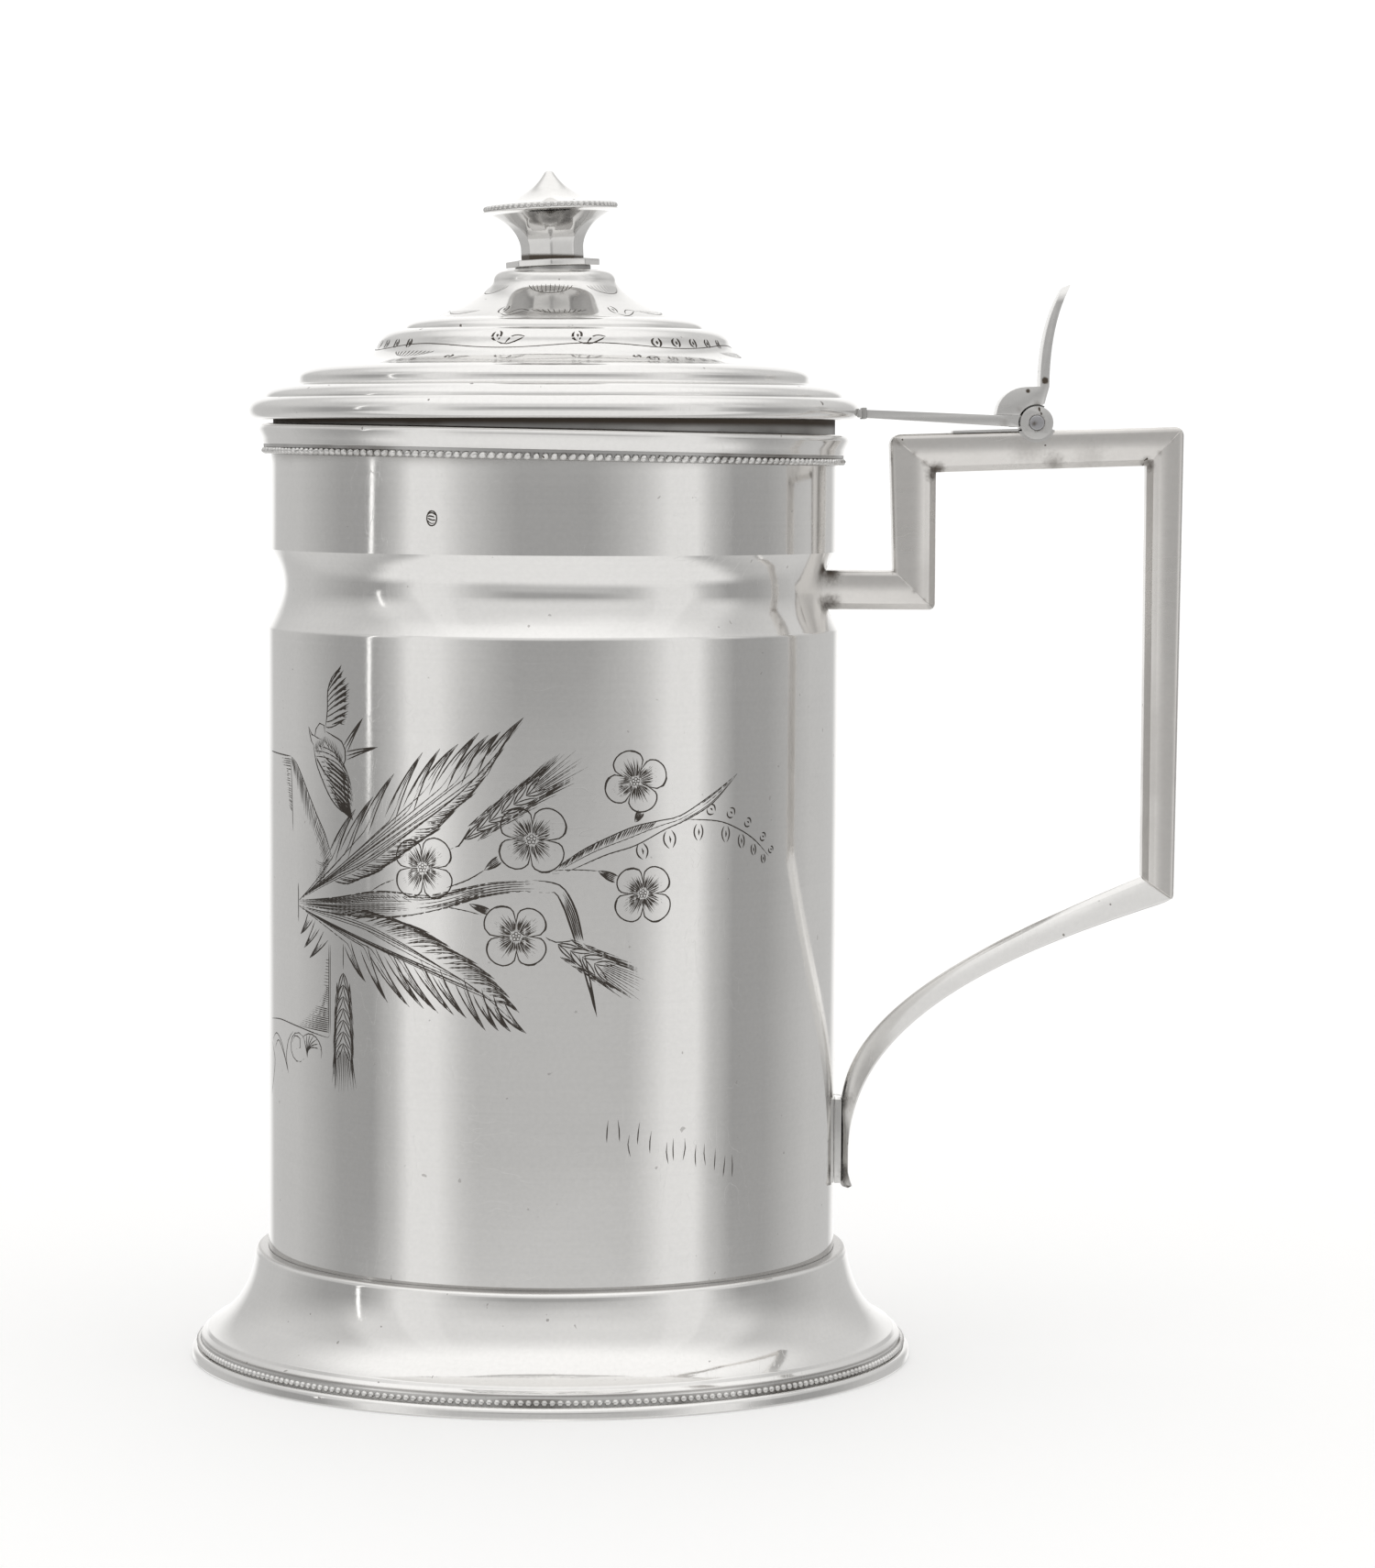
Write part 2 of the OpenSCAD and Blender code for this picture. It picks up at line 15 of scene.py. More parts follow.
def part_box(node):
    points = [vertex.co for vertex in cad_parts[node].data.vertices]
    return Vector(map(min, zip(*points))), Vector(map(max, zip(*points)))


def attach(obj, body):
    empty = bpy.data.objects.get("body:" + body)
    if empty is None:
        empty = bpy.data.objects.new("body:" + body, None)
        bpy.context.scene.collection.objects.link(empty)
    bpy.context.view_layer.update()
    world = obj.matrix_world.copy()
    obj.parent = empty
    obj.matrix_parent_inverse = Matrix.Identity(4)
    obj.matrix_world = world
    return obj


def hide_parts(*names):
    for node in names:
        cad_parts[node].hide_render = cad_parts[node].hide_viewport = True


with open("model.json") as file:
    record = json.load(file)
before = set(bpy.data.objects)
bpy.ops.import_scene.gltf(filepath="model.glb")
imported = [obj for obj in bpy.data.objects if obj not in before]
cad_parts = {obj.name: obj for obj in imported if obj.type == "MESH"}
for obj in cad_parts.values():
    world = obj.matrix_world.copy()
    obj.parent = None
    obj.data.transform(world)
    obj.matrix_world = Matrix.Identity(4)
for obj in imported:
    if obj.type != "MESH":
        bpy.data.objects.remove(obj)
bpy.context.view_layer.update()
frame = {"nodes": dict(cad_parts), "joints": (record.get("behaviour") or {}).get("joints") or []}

bl_info = {
    "name": "Pewter tankard",
    "version": (1, 0, 0),
    "blender": (4, 5, 0),
    "location": "View3D > Sidebar > Tankard",
    "description": "Builds the visible pieces of a lidded pewter tankard",
    "category": "Add Mesh",
}

MM = 0.001
VESSEL = "vessel"
LID = "lid"


def millimetres(node):
    """The lowest and highest corner of a CAD node, in millimetres."""
    low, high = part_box(node)
    return low / MM, high / MM


# ---- sizes taken from the frame ----
DRUM_R = millimetres("drum")[1].x
DRUM_LOW = millimetres("drum")[0].z
DRUM_TOP = millimetres("drum")[1].z
FOOT_R = millimetres("base_ring")[1].x
RING_TOP = millimetres("base_ring")[1].z
BEAD_TOP = millimetres("foot_beading")[1].z
NECK_STEP = 0.5
NECK_R = DRUM_R - NECK_STEP
DRUM_WALL = 1
GROOVE_Z = DRUM_TOP - 24.2
GROOVE_HALF = 6.6
GROOVE_DEPTH = 2.35
FOOT_SHEET = 0.9
LID_R = 51.3
SHELL_R = LID_R - 2.75
LID_TOP = 25.1
BORE_R = 47.63
FACETS = 288
# The radius at which the lid's engraving is drawn flat.
LID_ARC = 20.0
# Cut lines and the light tent count their way round from the front.
FRONT = math.radians(-90)
TENT_FRONT = math.radians(-88.4)
CAMERA_PLACE = (0.02273, -0.81213, 0.15279)
CAMERA_DOWN = 3.935
CAMERA_ROLL = 0.324

# Where these parts sit: the mouth slopes, the lid leans, the finial leans on the lid.
AT_REST = Matrix.Identity(4)
AT_MOUTH = Matrix.Translation((0, 0, 156.7)) @ Matrix.Rotation(math.radians(0.88), 4, "Y")
AT_LID = Matrix.Translation((0, 0, 158.2)) @ Matrix.Rotation(math.radians(-0.24), 4, "Y")
AT_STUD = AT_LID @ Matrix.Translation((-0.25, 0, LID_TOP))
AT_FINIAL = AT_STUD @ Matrix.Rotation(math.radians(-2.4), 4, "Y")


# ---- plane curves ----
def quarter(centre, a, b, start, end, count=14):
    """Part of an oval, from one turn to another in degrees."""
    turns = [math.radians(start + (end - start) * i / count) for i in range(count + 1)]
    return [(centre[0] + a * math.cos(t), centre[1] + b * math.sin(t)) for t in turns]


def bend(p, q, s, count=14):
    """A curve from p to s, drawn towards q."""
    steps = [i / count for i in range(count + 1)]
    return [tuple((1 - t) ** 2 * a + 2 * t * (1 - t) * b + t * t * c for a, b, c in zip(p, q, s))
            for t in steps]


def sweep(p, q, r, s, count=28):
    """A curve from p to s, drawn towards q and then r."""
    steps = [i / count for i in range(count + 1)]
    return [tuple((1 - t) ** 3 * a + 3 * (1 - t) ** 2 * t * b + 3 * (1 - t) * t * t * c + t ** 3 * d
                  for a, b, c, d in zip(p, q, r, s)) for t in steps]


def moved(points, by):
    return [(p[0] + by[0], p[1] + by[1]) for p in points]


def eased(points, radius, least=22, closed=False):
    """Rounds every corner that turns by more than least degrees."""
    result = []
    count = len(points)
    for i, here in enumerate(points):
        if not closed and i in (0, count - 1):
            result.append(here)
            continue
        into = Vector(here) - Vector(points[i - 1])
        out = Vector(points[(i + 1) % count]) - Vector(here)
        if into.length < 1e-6 or out.length < 1e-6:
            continue
        turn = abs(into.angle(out))
        if math.degrees(turn) < least:
            result.append(here)
            continue
        trim = min(radius * math.tan(min(turn, 2.4) / 2), 0.45 * into.length, 0.45 * out.length)
        start = Vector(here) - into.normalized() * trim
        end = Vector(here) + out.normalized() * trim
        result += bend(tuple(start), here, tuple(end), 4)
    return result


def resampled(points, step):
    """The same path with its points about one step apart, smoothed through the given points."""
    if len(points) < 3:
        (a, b), (c, d) = points
        count = max(2, int(math.hypot(c - a, d - b) / step))
        return [(a + (c - a) * i / count, b + (d - b) * i / count) for i in range(count + 1)]
    result = []
    for i in range(len(points) - 1):
        p0 = points[max(i - 1, 0)]
        p1, p2 = points[i], points[i + 1]
        p3 = points[min(i + 2, len(points) - 1)]
        count = max(1, int(math.hypot(p2[0] - p1[0], p2[1] - p1[1]) / step))
        for k in range(count):
            t = k / count
            result.append(tuple(
                0.5 * (2 * b + (c - a) * t + (2 * a - 5 * b + 4 * c - d) * t * t
                       + (3 * b - 3 * c + d - a) * t ** 3)
                for a, b, c, d in zip(p0, p1, p2, p3)))
    return result + [points[-1]]


# ---- nodes ----
def _sum(operation):
    """A method of Reading that puts its own number first."""
    return lambda self, *others: self.of(operation, self, *others)


def _swapped_sum(operation):
    """A method of Reading that puts its own number last, for 1 - mask and the like."""
    return lambda self, other: self.of(operation, other, self)


class Reading:
    """A number inside a node tree, so that its maths reads as plain Python."""

    def __init__(self, bench, socket):
        self.bench = bench
        self.socket = socket

    def of(self, operation, *values):
        node = self.bench.add("ShaderNodeMath", {"operation": operation}, dict(enumerate(values)))
        return Reading(self.bench, node.outputs[0])

    __add__, __radd__ = _sum("ADD"), _swapped_sum("ADD")
    __sub__, __rsub__ = _sum("SUBTRACT"), _swapped_sum("SUBTRACT")
    __mul__, __rmul__ = _sum("MULTIPLY"), _swapped_sum("MULTIPLY")
    __truediv__ = _sum("DIVIDE")
    __pow__ = _sum("POWER")
    __abs__ = _sum("ABSOLUTE")
    most = _sum("MAXIMUM")
    sin = _sum("SINE")
    cos = _sum("COSINE")
    asin = _sum("ARCSINE")
    floor = _sum("FLOOR")
    turn_from = _sum("ARCTAN2")

    def between(self, low, high):
        """0 below low, 1 above high, and smooth in between."""
        node = self.bench.add("ShaderNodeMapRange", {"interpolation_type": "SMOOTHSTEP"},
                              {0: self, 1: low, 2: high})
        return Reading(self.bench, node.outputs[0])


class Bench:
    """Puts nodes into one tree."""

    def __init__(self, tree):
        self.tree = tree

    def add(self, kind, settings=None, sockets=None):
        node = self.tree.nodes.new(kind)
        for key, value in (settings or {}).items():
            if key == "stops":
                ramp = node.color_ramp
                while len(ramp.elements) > 1:
                    ramp.elements.remove(ramp.elements[-1])
                for i, (place, shade) in enumerate(value):
                    stop = ramp.elements[0] if i == 0 else ramp.elements.new(place)
                    stop.position = place
                    stop.color = (shade, shade, shade, 1)
            else:
                setattr(node, key, value)
        for key, value in (sockets or {}).items():
            if isinstance(value, Reading):
                value = value.socket
            if isinstance(value, bpy.types.NodeSocket):
                self.tree.links.new(value, node.inputs[key])
            elif value is not None:
                node.inputs[key].default_value = value
        return node

    def out(self, kind, settings=None, sockets=None, output=0):
        return Reading(self, self.add(kind, settings, sockets).outputs[output])

    def apart(self, vector):
        node = self.add("ShaderNodeSeparateXYZ", None, {0: vector})
        return [Reading(self, socket) for socket in node.outputs]

    def together(self, x, y, z):
        return self.out("ShaderNodeCombineXYZ", None, {0: x, 1: y, 2: z})

    def blend(self, share, a, b):
        return self.out("ShaderNodeMix", {"data_type": "RGBA"}, {0: share, 6: a, 7: b}, 2)

    def stretched(self, vector, factors):
        return self.out("ShaderNodeVectorMath", {"operation": "MULTIPLY"}, {0: vector, 1: factors})

    def noise(self, vector, scale, detail=2.0, rough=0.5):
        return self.out("ShaderNodeTexNoise", None,
                        {"Vector": vector, "Scale": scale, "Detail": detail, "Roughness": rough})


# ---- finishes ----
# The brown of tarnish, and also of the painted shade in recesses.
BROWN = (0.075, 0.058, 0.043, 1)
LINE_WAYS = {"round": (12, 12, 1900), "flat": (14, 900, 900)}
SWELL_DEPTH = 0.00016
LINE_DEPTH = 0.0000011
GRAIN_DEPTH = 0.0000022


def pewter(name, colour, rough, wave=1.0, lines=1.0, grime=0.0, spots=0.0, tarnish=(),
           level=(), way="round"):
    """Polished pewter: a waved surface, fine polishing lines, scuffs, and brown tarnish.

    tarnish: (x, y, z, reach, strength) places, on both sides of the middle plane;
    level: (height, reach, strength) bands of brown, painted shade in recesses on the drum, the foot
    and the lid seat, and tarnish elsewhere; way: how the polishing lines run.
    level: (height, reach, strength) bands; way: how the polishing lines run.
    """
    material = bpy.data.materials.new(name)
    material.use_nodes = True
    material.node_tree.nodes.clear()
    bench = Bench(material.node_tree)
    place = bench.out("ShaderNodeTexCoord", None, None, 3)
    x, y, z = bench.apart(place)
    line = bench.noise(bench.stretched(place, LINE_WAYS[way]), 1.0, 3.0, 0.6)
    cloud = bench.noise(place, 55.0, 3.0)
    grain = bench.noise(place, 1400.0, 2.0)
    swell = bench.noise(place, 38.0, 1.0)
    scratch = bench.noise(bench.stretched(place, (420, 60, 130)), 1.0, 2.0)
    cross = bench.noise(bench.stretched(place, (60, 380, 240)), 1.0, 2.0)
    marks = ((1 - abs(scratch - 0.5).between(0.0, 0.006)) * cloud.between(0.5, 0.62)
             + (1 - abs(cross - 0.5).between(0.0, 0.006)) * (1 - cloud).between(0.5, 0.62))
    pit = bench.noise(place, 620.0, 1.0).between(0.77, 0.8) * spots
    # Grime, pits, tarnish and the bands' painted shade all darken the colour towards brown.
    tarnish_and_shade = cloud.between(0.42, 0.75) * grime + pit
    for px, py, pz, reach, strength in tarnish:
        away = ((x - px * MM) ** 2 + (abs(y) - py * MM) ** 2 + (z - pz * MM) ** 2) ** 0.5
        away = away + (grain - 0.5) * (reach * 0.5 * MM) + (cloud - 0.5) * (reach * MM)
        tarnish_and_shade = tarnish_and_shade + (1 - away.between(0.0, reach * MM)) * strength
    # Brown bands round a height: on the drum, the foot and the lid seat these are painted shade in
    # recesses.
    for height, reach, strength in level:
        away = abs(z - height * MM) + (cloud - 0.5) * (reach * 0.8 * MM)
        tarnish_and_shade = tarnish_and_shade + (1 - away.between(0.0, reach * MM)) * strength
    tarnish_and_shade = tarnish_and_shade.between(0.0, 1.0)
    tone = 0.95 + 0.07 * cloud + 0.05 * (line - 0.5) + 0.08 * (grain - 0.5)
    base = bench.out("ShaderNodeVectorMath", {"operation": "SCALE"},
                     {0: tuple(colour), "Scale": tone})
    base = bench.blend(tarnish_and_shade, base, BROWN)
    roughness = rough + 0.05 * (line - 0.5) + 0.08 * (cloud - 0.5) + 0.3 * tarnish_and_shade + 0.12 * marks
    bump = bench.out("ShaderNodeBump", None, {
        "Strength": 1.0, "Distance": SWELL_DEPTH * wave, "Height": swell})
    bump = bench.out("ShaderNodeBump", None, {
        "Strength": 1.0, "Distance": LINE_DEPTH * lines, "Height": line, "Normal": bump})
    bump = bench.out("ShaderNodeBump", None, {
        "Strength": 1.0, "Distance": GRAIN_DEPTH, "Height": grain - marks * 1.2 - tarnish_and_shade * 2.0,
        "Normal": bump})
    shader = bench.add("ShaderNodeBsdfPrincipled", None, {
        "Base Color": base, "Metallic": 1 - tarnish_and_shade * 0.55, "Roughness": roughness, "Normal": bump})
    bench.add("ShaderNodeOutputMaterial", None, {0: shader.outputs[0]})
    return material


def along_seam(a, b, reach, strength, count=4):
    """Tarnish places along a mitre of the handle."""
    return tuple((a[0] + (b[0] - a[0]) * i / (count - 1), 3.6, a[1] + (b[1] - a[1]) * i / (count - 1),
                  reach, strength) for i in range(count))


def finish(name):
    """The finish of that name, made once from the user's colours."""
    if name in bpy.data.materials:
        return bpy.data.materials[name]
    look = bpy.context.scene.tankard_finish
    rough = look.roughness

    def tone(*shares):
        """The pewter's colour times one share, or times a share for each of red, green and blue."""
        return tuple(c * f for c, f in zip(look.pewter, shares * (3 // len(shares))))

    looks = {
        # The bands at 152.6 (under the mouth beads) and 18.4 (at the foot) are painted shade, tinted
        # brown.
        "Drum pewter": (tone(1), rough * 0.8, {
            "spots": 0.4, "level": ((152.6, 3.0, 0.42), (18.4, 0.5, 0.5)),
            "tarnish": ((46.5, 0, 130, 7.5, 0.6), (45.6, 4.2, 127, 2.6, 0.5),
                        (46, 4.2, 133.6, 2.4, 0.5))}),
        # The bands at 18.5 (the shoulder) and 3.7 (above the foot beads) are painted shade, tinted brown.
        "Foot pewter": (tone(1), rough * 0.65, {
            "wave": 1.2, "spots": 0.5, "level": ((18.5, 0.35, 0.55), (3.7, 0.5, 0.5))}),
        "Mouth pewter": (tone(1), rough, {"grime": 0.1, "spots": 0.5}),
        "Lid pewter": (tone(1), rough * 0.9, {"wave": 0.8, "grime": 0.08, "spots": 0.7}),
        # A darker copy of the pewter, darker still in a band near its top: painted shade in the gap under
        # the lid.
        "Lid seat": (tone(0.5), 0.4, {"grime": 0.5, "level": ((158.9, 2.4, 1.6),)}),
        "Bead pewter": (tone(0.9), rough * 1.6, {
            "wave": 0.2, "lines": 0.2, "grime": 0.35, "spots": 1.0}),
        # A darker copy of the pewter for the wire behind the beads: painted shade between them.
        "Bead recess": (tone(0.62), 0.3, {"grime": 0.7}),
        "Handle pewter": (tone(0.98, 0.965, 0.95), rough * 2.8, {
            "wave": 0.4, "lines": 2.0, "grime": 0.24, "spots": 1.0, "tarnish": HANDLE_TARNISH,
            "way": "flat"}),
        "Strap pewter": (tone(1), rough * 1.5, {
            "wave": 3.0, "lines": 2.0, "grime": 0.1, "spots": 0.6,
            "tarnish": ((50, 2, 43.5, 3.0, 0.5), (50, 2, 31, 3.0, 0.5)), "way": "flat"}),
        "Hinge pewter": (tone(0.97), rough * 2.8, {
            "wave": 0.4, "grime": 0.26, "spots": 1.4, "tarnish": HINGE_TARNISH, "way": "flat"}),
        "Finial pewter": (tone(1), rough * 0.8, {
            "wave": 0.3, "grime": 0.12, "spots": 1.0, "level": ((185.4, 0.9, 0.45),)}),
        "Stem pewter": (tone(0.86), rough * 0.8, {
            "wave": 0.5, "grime": 0.3, "spots": 1.0,
            "level": ((185.3, 0.9, 1.1), (193.6, 0.8, 0.15))}),
        "Solder": (tone(0.66), 0.38, {"wave": 0.4, "grime": 0.8}),
        "Inner pewter": (look.inner, 0.36, {"grime": 0.5, "spots": 0.6}),
        "Pin steel": ((0.5, 0.5, 0.52), 0.34, {
            "wave": 0.2, "grime": 0.4, "spots": 1.0,
            "tarnish": ((80.4, 4.6, 158.1, 0.9, 0.9), (81.4, 4.6, 158.9, 0.5, 0.7))}),
        "Cut line": (look.cut, 0.42, {"wave": 0.0, "lines": 0.0, "grime": 0.3}),
    }
    colour, roughness, extras = looks[name]
    return pewter(name, colour, roughness, **extras)


# ---- making pieces ----
def linked(name, data):
    piece = bpy.data.objects.new(name, data)
    bpy.context.scene.collection.objects.link(piece)
    return piece


def outward(mesh):
    """Closes doubles and turns the shell's faces outwards."""
    work = bmesh.new()
    work.from_mesh(mesh)
    bmesh.ops.remove_doubles(work, verts=work.verts, dist=1e-7)
    bmesh.ops.dissolve_degenerate(work, edges=work.edges, dist=1e-8)
    if work.calc_volume(signed=True) < 0:
        bmesh.ops.reverse_faces(work, faces=work.faces)
    work.to_mesh(mesh)
    work.free()


def placed(mesh, matrix):
    """Moves a mesh in millimetres to its place in the frame, in metres."""
    mesh.transform(Matrix.Scale(MM, 4) @ matrix)


def handed_over(piece, body, nodes, crease=32):
    """Shades the piece, hangs it on its body, and hides the CAD nodes that it stands for."""
    for face in piece.data.polygons:
        face.use_smooth = True
    piece.data.set_sharp_from_angle(angle=math.radians(crease))
    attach(piece, body)
    if nodes:
        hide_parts(*nodes)
    return piece


def mesh_piece(name, verts, faces, material):
    mesh = bpy.data.meshes.new(name)
    mesh.from_pydata(verts, [], faces)
    mesh.materials.append(finish(material))
    return linked(name, mesh)


def baked(source, name):
    """Turns what the modifiers make into a plain mesh, and drops the source."""
    graph = bpy.context.evaluated_depsgraph_get()
    mesh = bpy.data.meshes.new_from_object(source.evaluated_get(graph))
    if not mesh.polygons:
        raise RuntimeError(f"{name} came out empty")
    bpy.data.objects.remove(source)
    return linked(name, mesh)


def tube_faces(rings, around):
    """The faces between rings of points that have the same number of points."""
    return [(i * around + k, i * around + (k + 1) % around,
             (i + 1) * around + (k + 1) % around, (i + 1) * around + k)
            for i in range(rings - 1) for k in range(around)]


def bevelled(source, name, width, segments, angle):
    """Rounds the edges that are sharper than the angle, in degrees, and bakes the piece."""
    edge = source.modifiers.new("Bevel", "BEVEL")
    edge.width = width * MM
    edge.segments = segments
    edge.limit_method = "ANGLE"
    edge.angle_limit = math.radians(angle)
    return baked(source, name)


def joined(name, pieces):
    """One piece from several meshes, with their finishes."""
    work = bmesh.new()
    finishes = []
    for piece in pieces:
        shift = []
        for material in piece.data.materials:
            if material not in finishes:
                finishes.append(material)
            shift.append(finishes.index(material))
        before = len(work.faces)
        work.from_mesh(piece.data)
        work.faces.ensure_lookup_table()
        for face in work.faces[before:]:
            face.material_index = shift[face.material_index] if shift else 0
        bpy.data.objects.remove(piece)
    mesh = bpy.data.meshes.new(name)
    work.to_mesh(mesh)
    work.free()
    for material in finishes:
        mesh.materials.append(material)
    return linked(name, mesh)


# ---- node trees that build shapes ----
SOCKETS = {"geometry": "NodeSocketGeometry", "number": "NodeSocketInt", "size": "NodeSocketFloat",
           "finish": "NodeSocketMaterial", "object": "NodeSocketObject"}


def shape_tree(name, inputs):
    tree = bpy.data.node_groups.new(name, "GeometryNodeTree")
    for label, kind in inputs:
        tree.interface.new_socket(label, in_out="INPUT", socket_type=SOCKETS[kind])
    tree.interface.new_socket("Shape", in_out="OUTPUT", socket_type=SOCKETS["geometry"])
    bench = Bench(tree)
    entry = bench.add("NodeGroupInput")
    return tree, bench, {label: Reading(bench, entry.outputs[label]) for label, _ in inputs}


def closed_tree(bench, geometry, material):
    """Every shape tree ends in plain geometry with its finish."""
    plain = bench.out("GeometryNodeRealizeInstances", None, {0: geometry})
    done = bench.out("GeometryNodeSetMaterial", None, {"Geometry": plain, "Material": material})
    bench.add("NodeGroupOutput", None, {"Shape": done})


def tree_piece(name, tree, data, values):
    """Runs a shape tree on a piece of data with the named inputs, and bakes it."""
    source = linked(name + "_source", data)
    modifier = source.modifiers.new("Shape", "NODES")
    modifier.node_group = tree
    sockets = {s.name: s.identifier for s in tree.interface.items_tree if s.in_out == "INPUT"}
    for label, value in values.items():
        modifier[sockets[label]] = value
    return baked(source, name)


def turning_tree():
    """Turns a profile round the upright axis. The profile is a row of points."""
    if "Turned shell" in bpy.data.node_groups:
        return bpy.data.node_groups["Turned shell"]
    tree, bench, given = shape_tree("Turned shell", [
        ("Profile", "geometry"), ("Points", "number"), ("Facets", "number"), ("Finish", "finish")])
    points = given["Points"]
    facets = given["Facets"]
    sheet = bench.out("GeometryNodeMeshGrid", None, {
        "Size X": 1.0, "Size Y": 1.0, "Vertices X": facets + 1, "Vertices Y": points})
    index = bench.out("GeometryNodeInputIndex")
    column = (index / points + 0.0001).floor()
    row = index - column * points
    where = bench.out("GeometryNodeInputPosition")
    spot = bench.out("GeometryNodeSampleIndex", {"data_type": "FLOAT_VECTOR", "domain": "POINT"},
                     {"Geometry": given["Profile"], "Value": where, "Index": row + 0.1})
    radius, _, height = bench.apart(spot)
    turn = column * (2 * math.pi) / facets
    shell = bench.out("GeometryNodeSetPosition", None, {
        "Geometry": sheet,
        "Position": bench.together(radius * turn.cos(), radius * turn.sin(), height)})
    shell = bench.out("GeometryNodeMergeByDistance", None, {"Geometry": shell, "Distance": 1e-5})
    closed_tree(bench, shell, given["Finish"])
    return tree


def turned(name, profile, material, at=AT_REST, facets=FACETS, closed=True):
    """A turned shell from a profile of radius and height."""
    points = list(profile) + ([profile[0]] if closed else [])
    mesh = bpy.data.meshes.new(name + "_profile")
    mesh.from_pydata([(r, 0, z) for r, z in points], [(i, i + 1) for i in range(len(points) - 1)], [])
    piece = tree_piece(name, turning_tree(), mesh, {
        "Points": len(points), "Facets": facets, "Finish": finish(material)})
    outward(piece.data)
    placed(piece.data, at)
    return piece


def bead_tree():
    """A ring of beads, each a small oval pressed into its wire."""
    if "Bead ring" in bpy.data.node_groups:
        return bpy.data.node_groups["Bead ring"]
    tree, bench, given = shape_tree("Bead ring", [
        ("Wire", "geometry"), ("Beads", "number"), ("Ring radius", "size"), ("Height", "size"),
        ("Bead length", "size"), ("Bead depth", "size"), ("Bead height", "size"),
        ("Slant", "size"), ("Unevenness", "size"), ("Seed", "number"), ("Finish", "finish")])
    ring = bench.out("GeometryNodeMeshCircle", None, {
        "Vertices": given["Beads"], "Radius": given["Ring radius"]})
    x, y, _ = bench.apart(bench.out("GeometryNodeInputPosition"))
    turn = y.turn_from(x)
    ring = bench.out("GeometryNodeSetPosition", None, {
        "Geometry": ring, "Offset": bench.together(0.0, 0.0, given["Height"])})
    seed = given["Seed"]
    spread = given["Unevenness"]

    def chance(step):
        node = bench.add("FunctionNodeRandomValue", {"data_type": "FLOAT"}, {
            "Min": -1.0, "Max": 1.0, "Seed": seed + step})
        return Reading(bench, node.outputs[1])

    bead = bench.out("GeometryNodeMeshUVSphere", None, {"Segments": 10, "Rings": 6, "Radius": 0.5})
    rotation = bench.out("FunctionNodeEulerToRotation", None, {
        0: bench.together(given["Slant"] + chance(1) * spread, 0.0, turn)})
    size = bench.together(given["Bead depth"] * (1 + chance(2) * spread),
                          given["Bead length"] * (1 + chance(3) * spread),
                          given["Bead height"] * (1 + chance(4) * spread * 0.6))
    beads = bench.out("GeometryNodeInstanceOnPoints", None, {
        "Points": ring, "Instance": bead, "Rotation": rotation, "Scale": size})
    closed_tree(bench, beads, given["Finish"])
    return tree


def bead_ring(name, wire, beads, ring, bead, slant, spread, seed, at):
    """Beads on their wire, as one mesh. ring: (radius, height); bead: (length, depth, height)."""
    # The wire behind the beads takes a darker finish, painted shade between the beads.
    backing = turned(name + "_wire", wire, "Bead recess", at)
    row = tree_piece(name + "_row", bead_tree(), bpy.data.meshes.new(name), {
        "Beads": beads, "Ring radius": ring[0], "Height": ring[1], "Bead length": bead[0],
        "Bead depth": bead[1], "Bead height": bead[2], "Slant": slant, "Unevenness": spread,
        "Seed": seed, "Finish": finish("Bead pewter")})
    placed(row.data, at)
    return joined(name, [backing, row])


def cutting_tree():
    """Lays cut lines, drawn flat, onto a turned surface.

    A line's points hold the way round (x) and the way up the profile (y); the profile is a curve of
    radius (x) and height (z).
    """
    if "Cut lines" in bpy.data.node_groups:
        return bpy.data.node_groups["Cut lines"]
    tree, bench, given = shape_tree("Cut lines", [
        ("Lines", "geometry"), ("Surface", "object"), ("Arc radius", "size"), ("Turn", "size"),
        ("Finish", "finish")])
    blade = bench.out("GeometryNodeCurvePrimitiveQuadrilateral", {"mode": "TRAPEZOID"}, {
        "Height": 0.07, "Bottom Width": 1.0, "Top Width": 0.7})
    width = bench.out("GeometryNodeInputRadius")
    strips = bench.add("GeometryNodeCurveToMesh", None, {
        "Curve": given["Lines"], "Profile Curve": blade, "Scale": width, "Fill Caps": True})
    x, y, z = bench.apart(bench.out("GeometryNodeInputPosition"))
    surface = bench.add("GeometryNodeObjectInfo", None, {"Object": given["Surface"]})
    sample = bench.add("GeometryNodeSampleCurve", {"mode": "LENGTH", "use_all_curves": False}, {
        "Curves": surface.outputs["Geometry"], "Length": y})
    radius, _, height = bench.apart(sample.outputs["Position"])
    slope, _, rise = bench.apart(sample.outputs["Tangent"])
    turn = x / given["Arc radius"] + given["Turn"]
    lifted = radius + z * rise
    shell = bench.out("GeometryNodeSetPosition", None, {
        "Geometry": strips.outputs[0],
        "Position": bench.together(lifted * turn.cos(), lifted * turn.sin(), height - z * slope)})
    closed_tree(bench, shell, given["Finish"])
    return tree


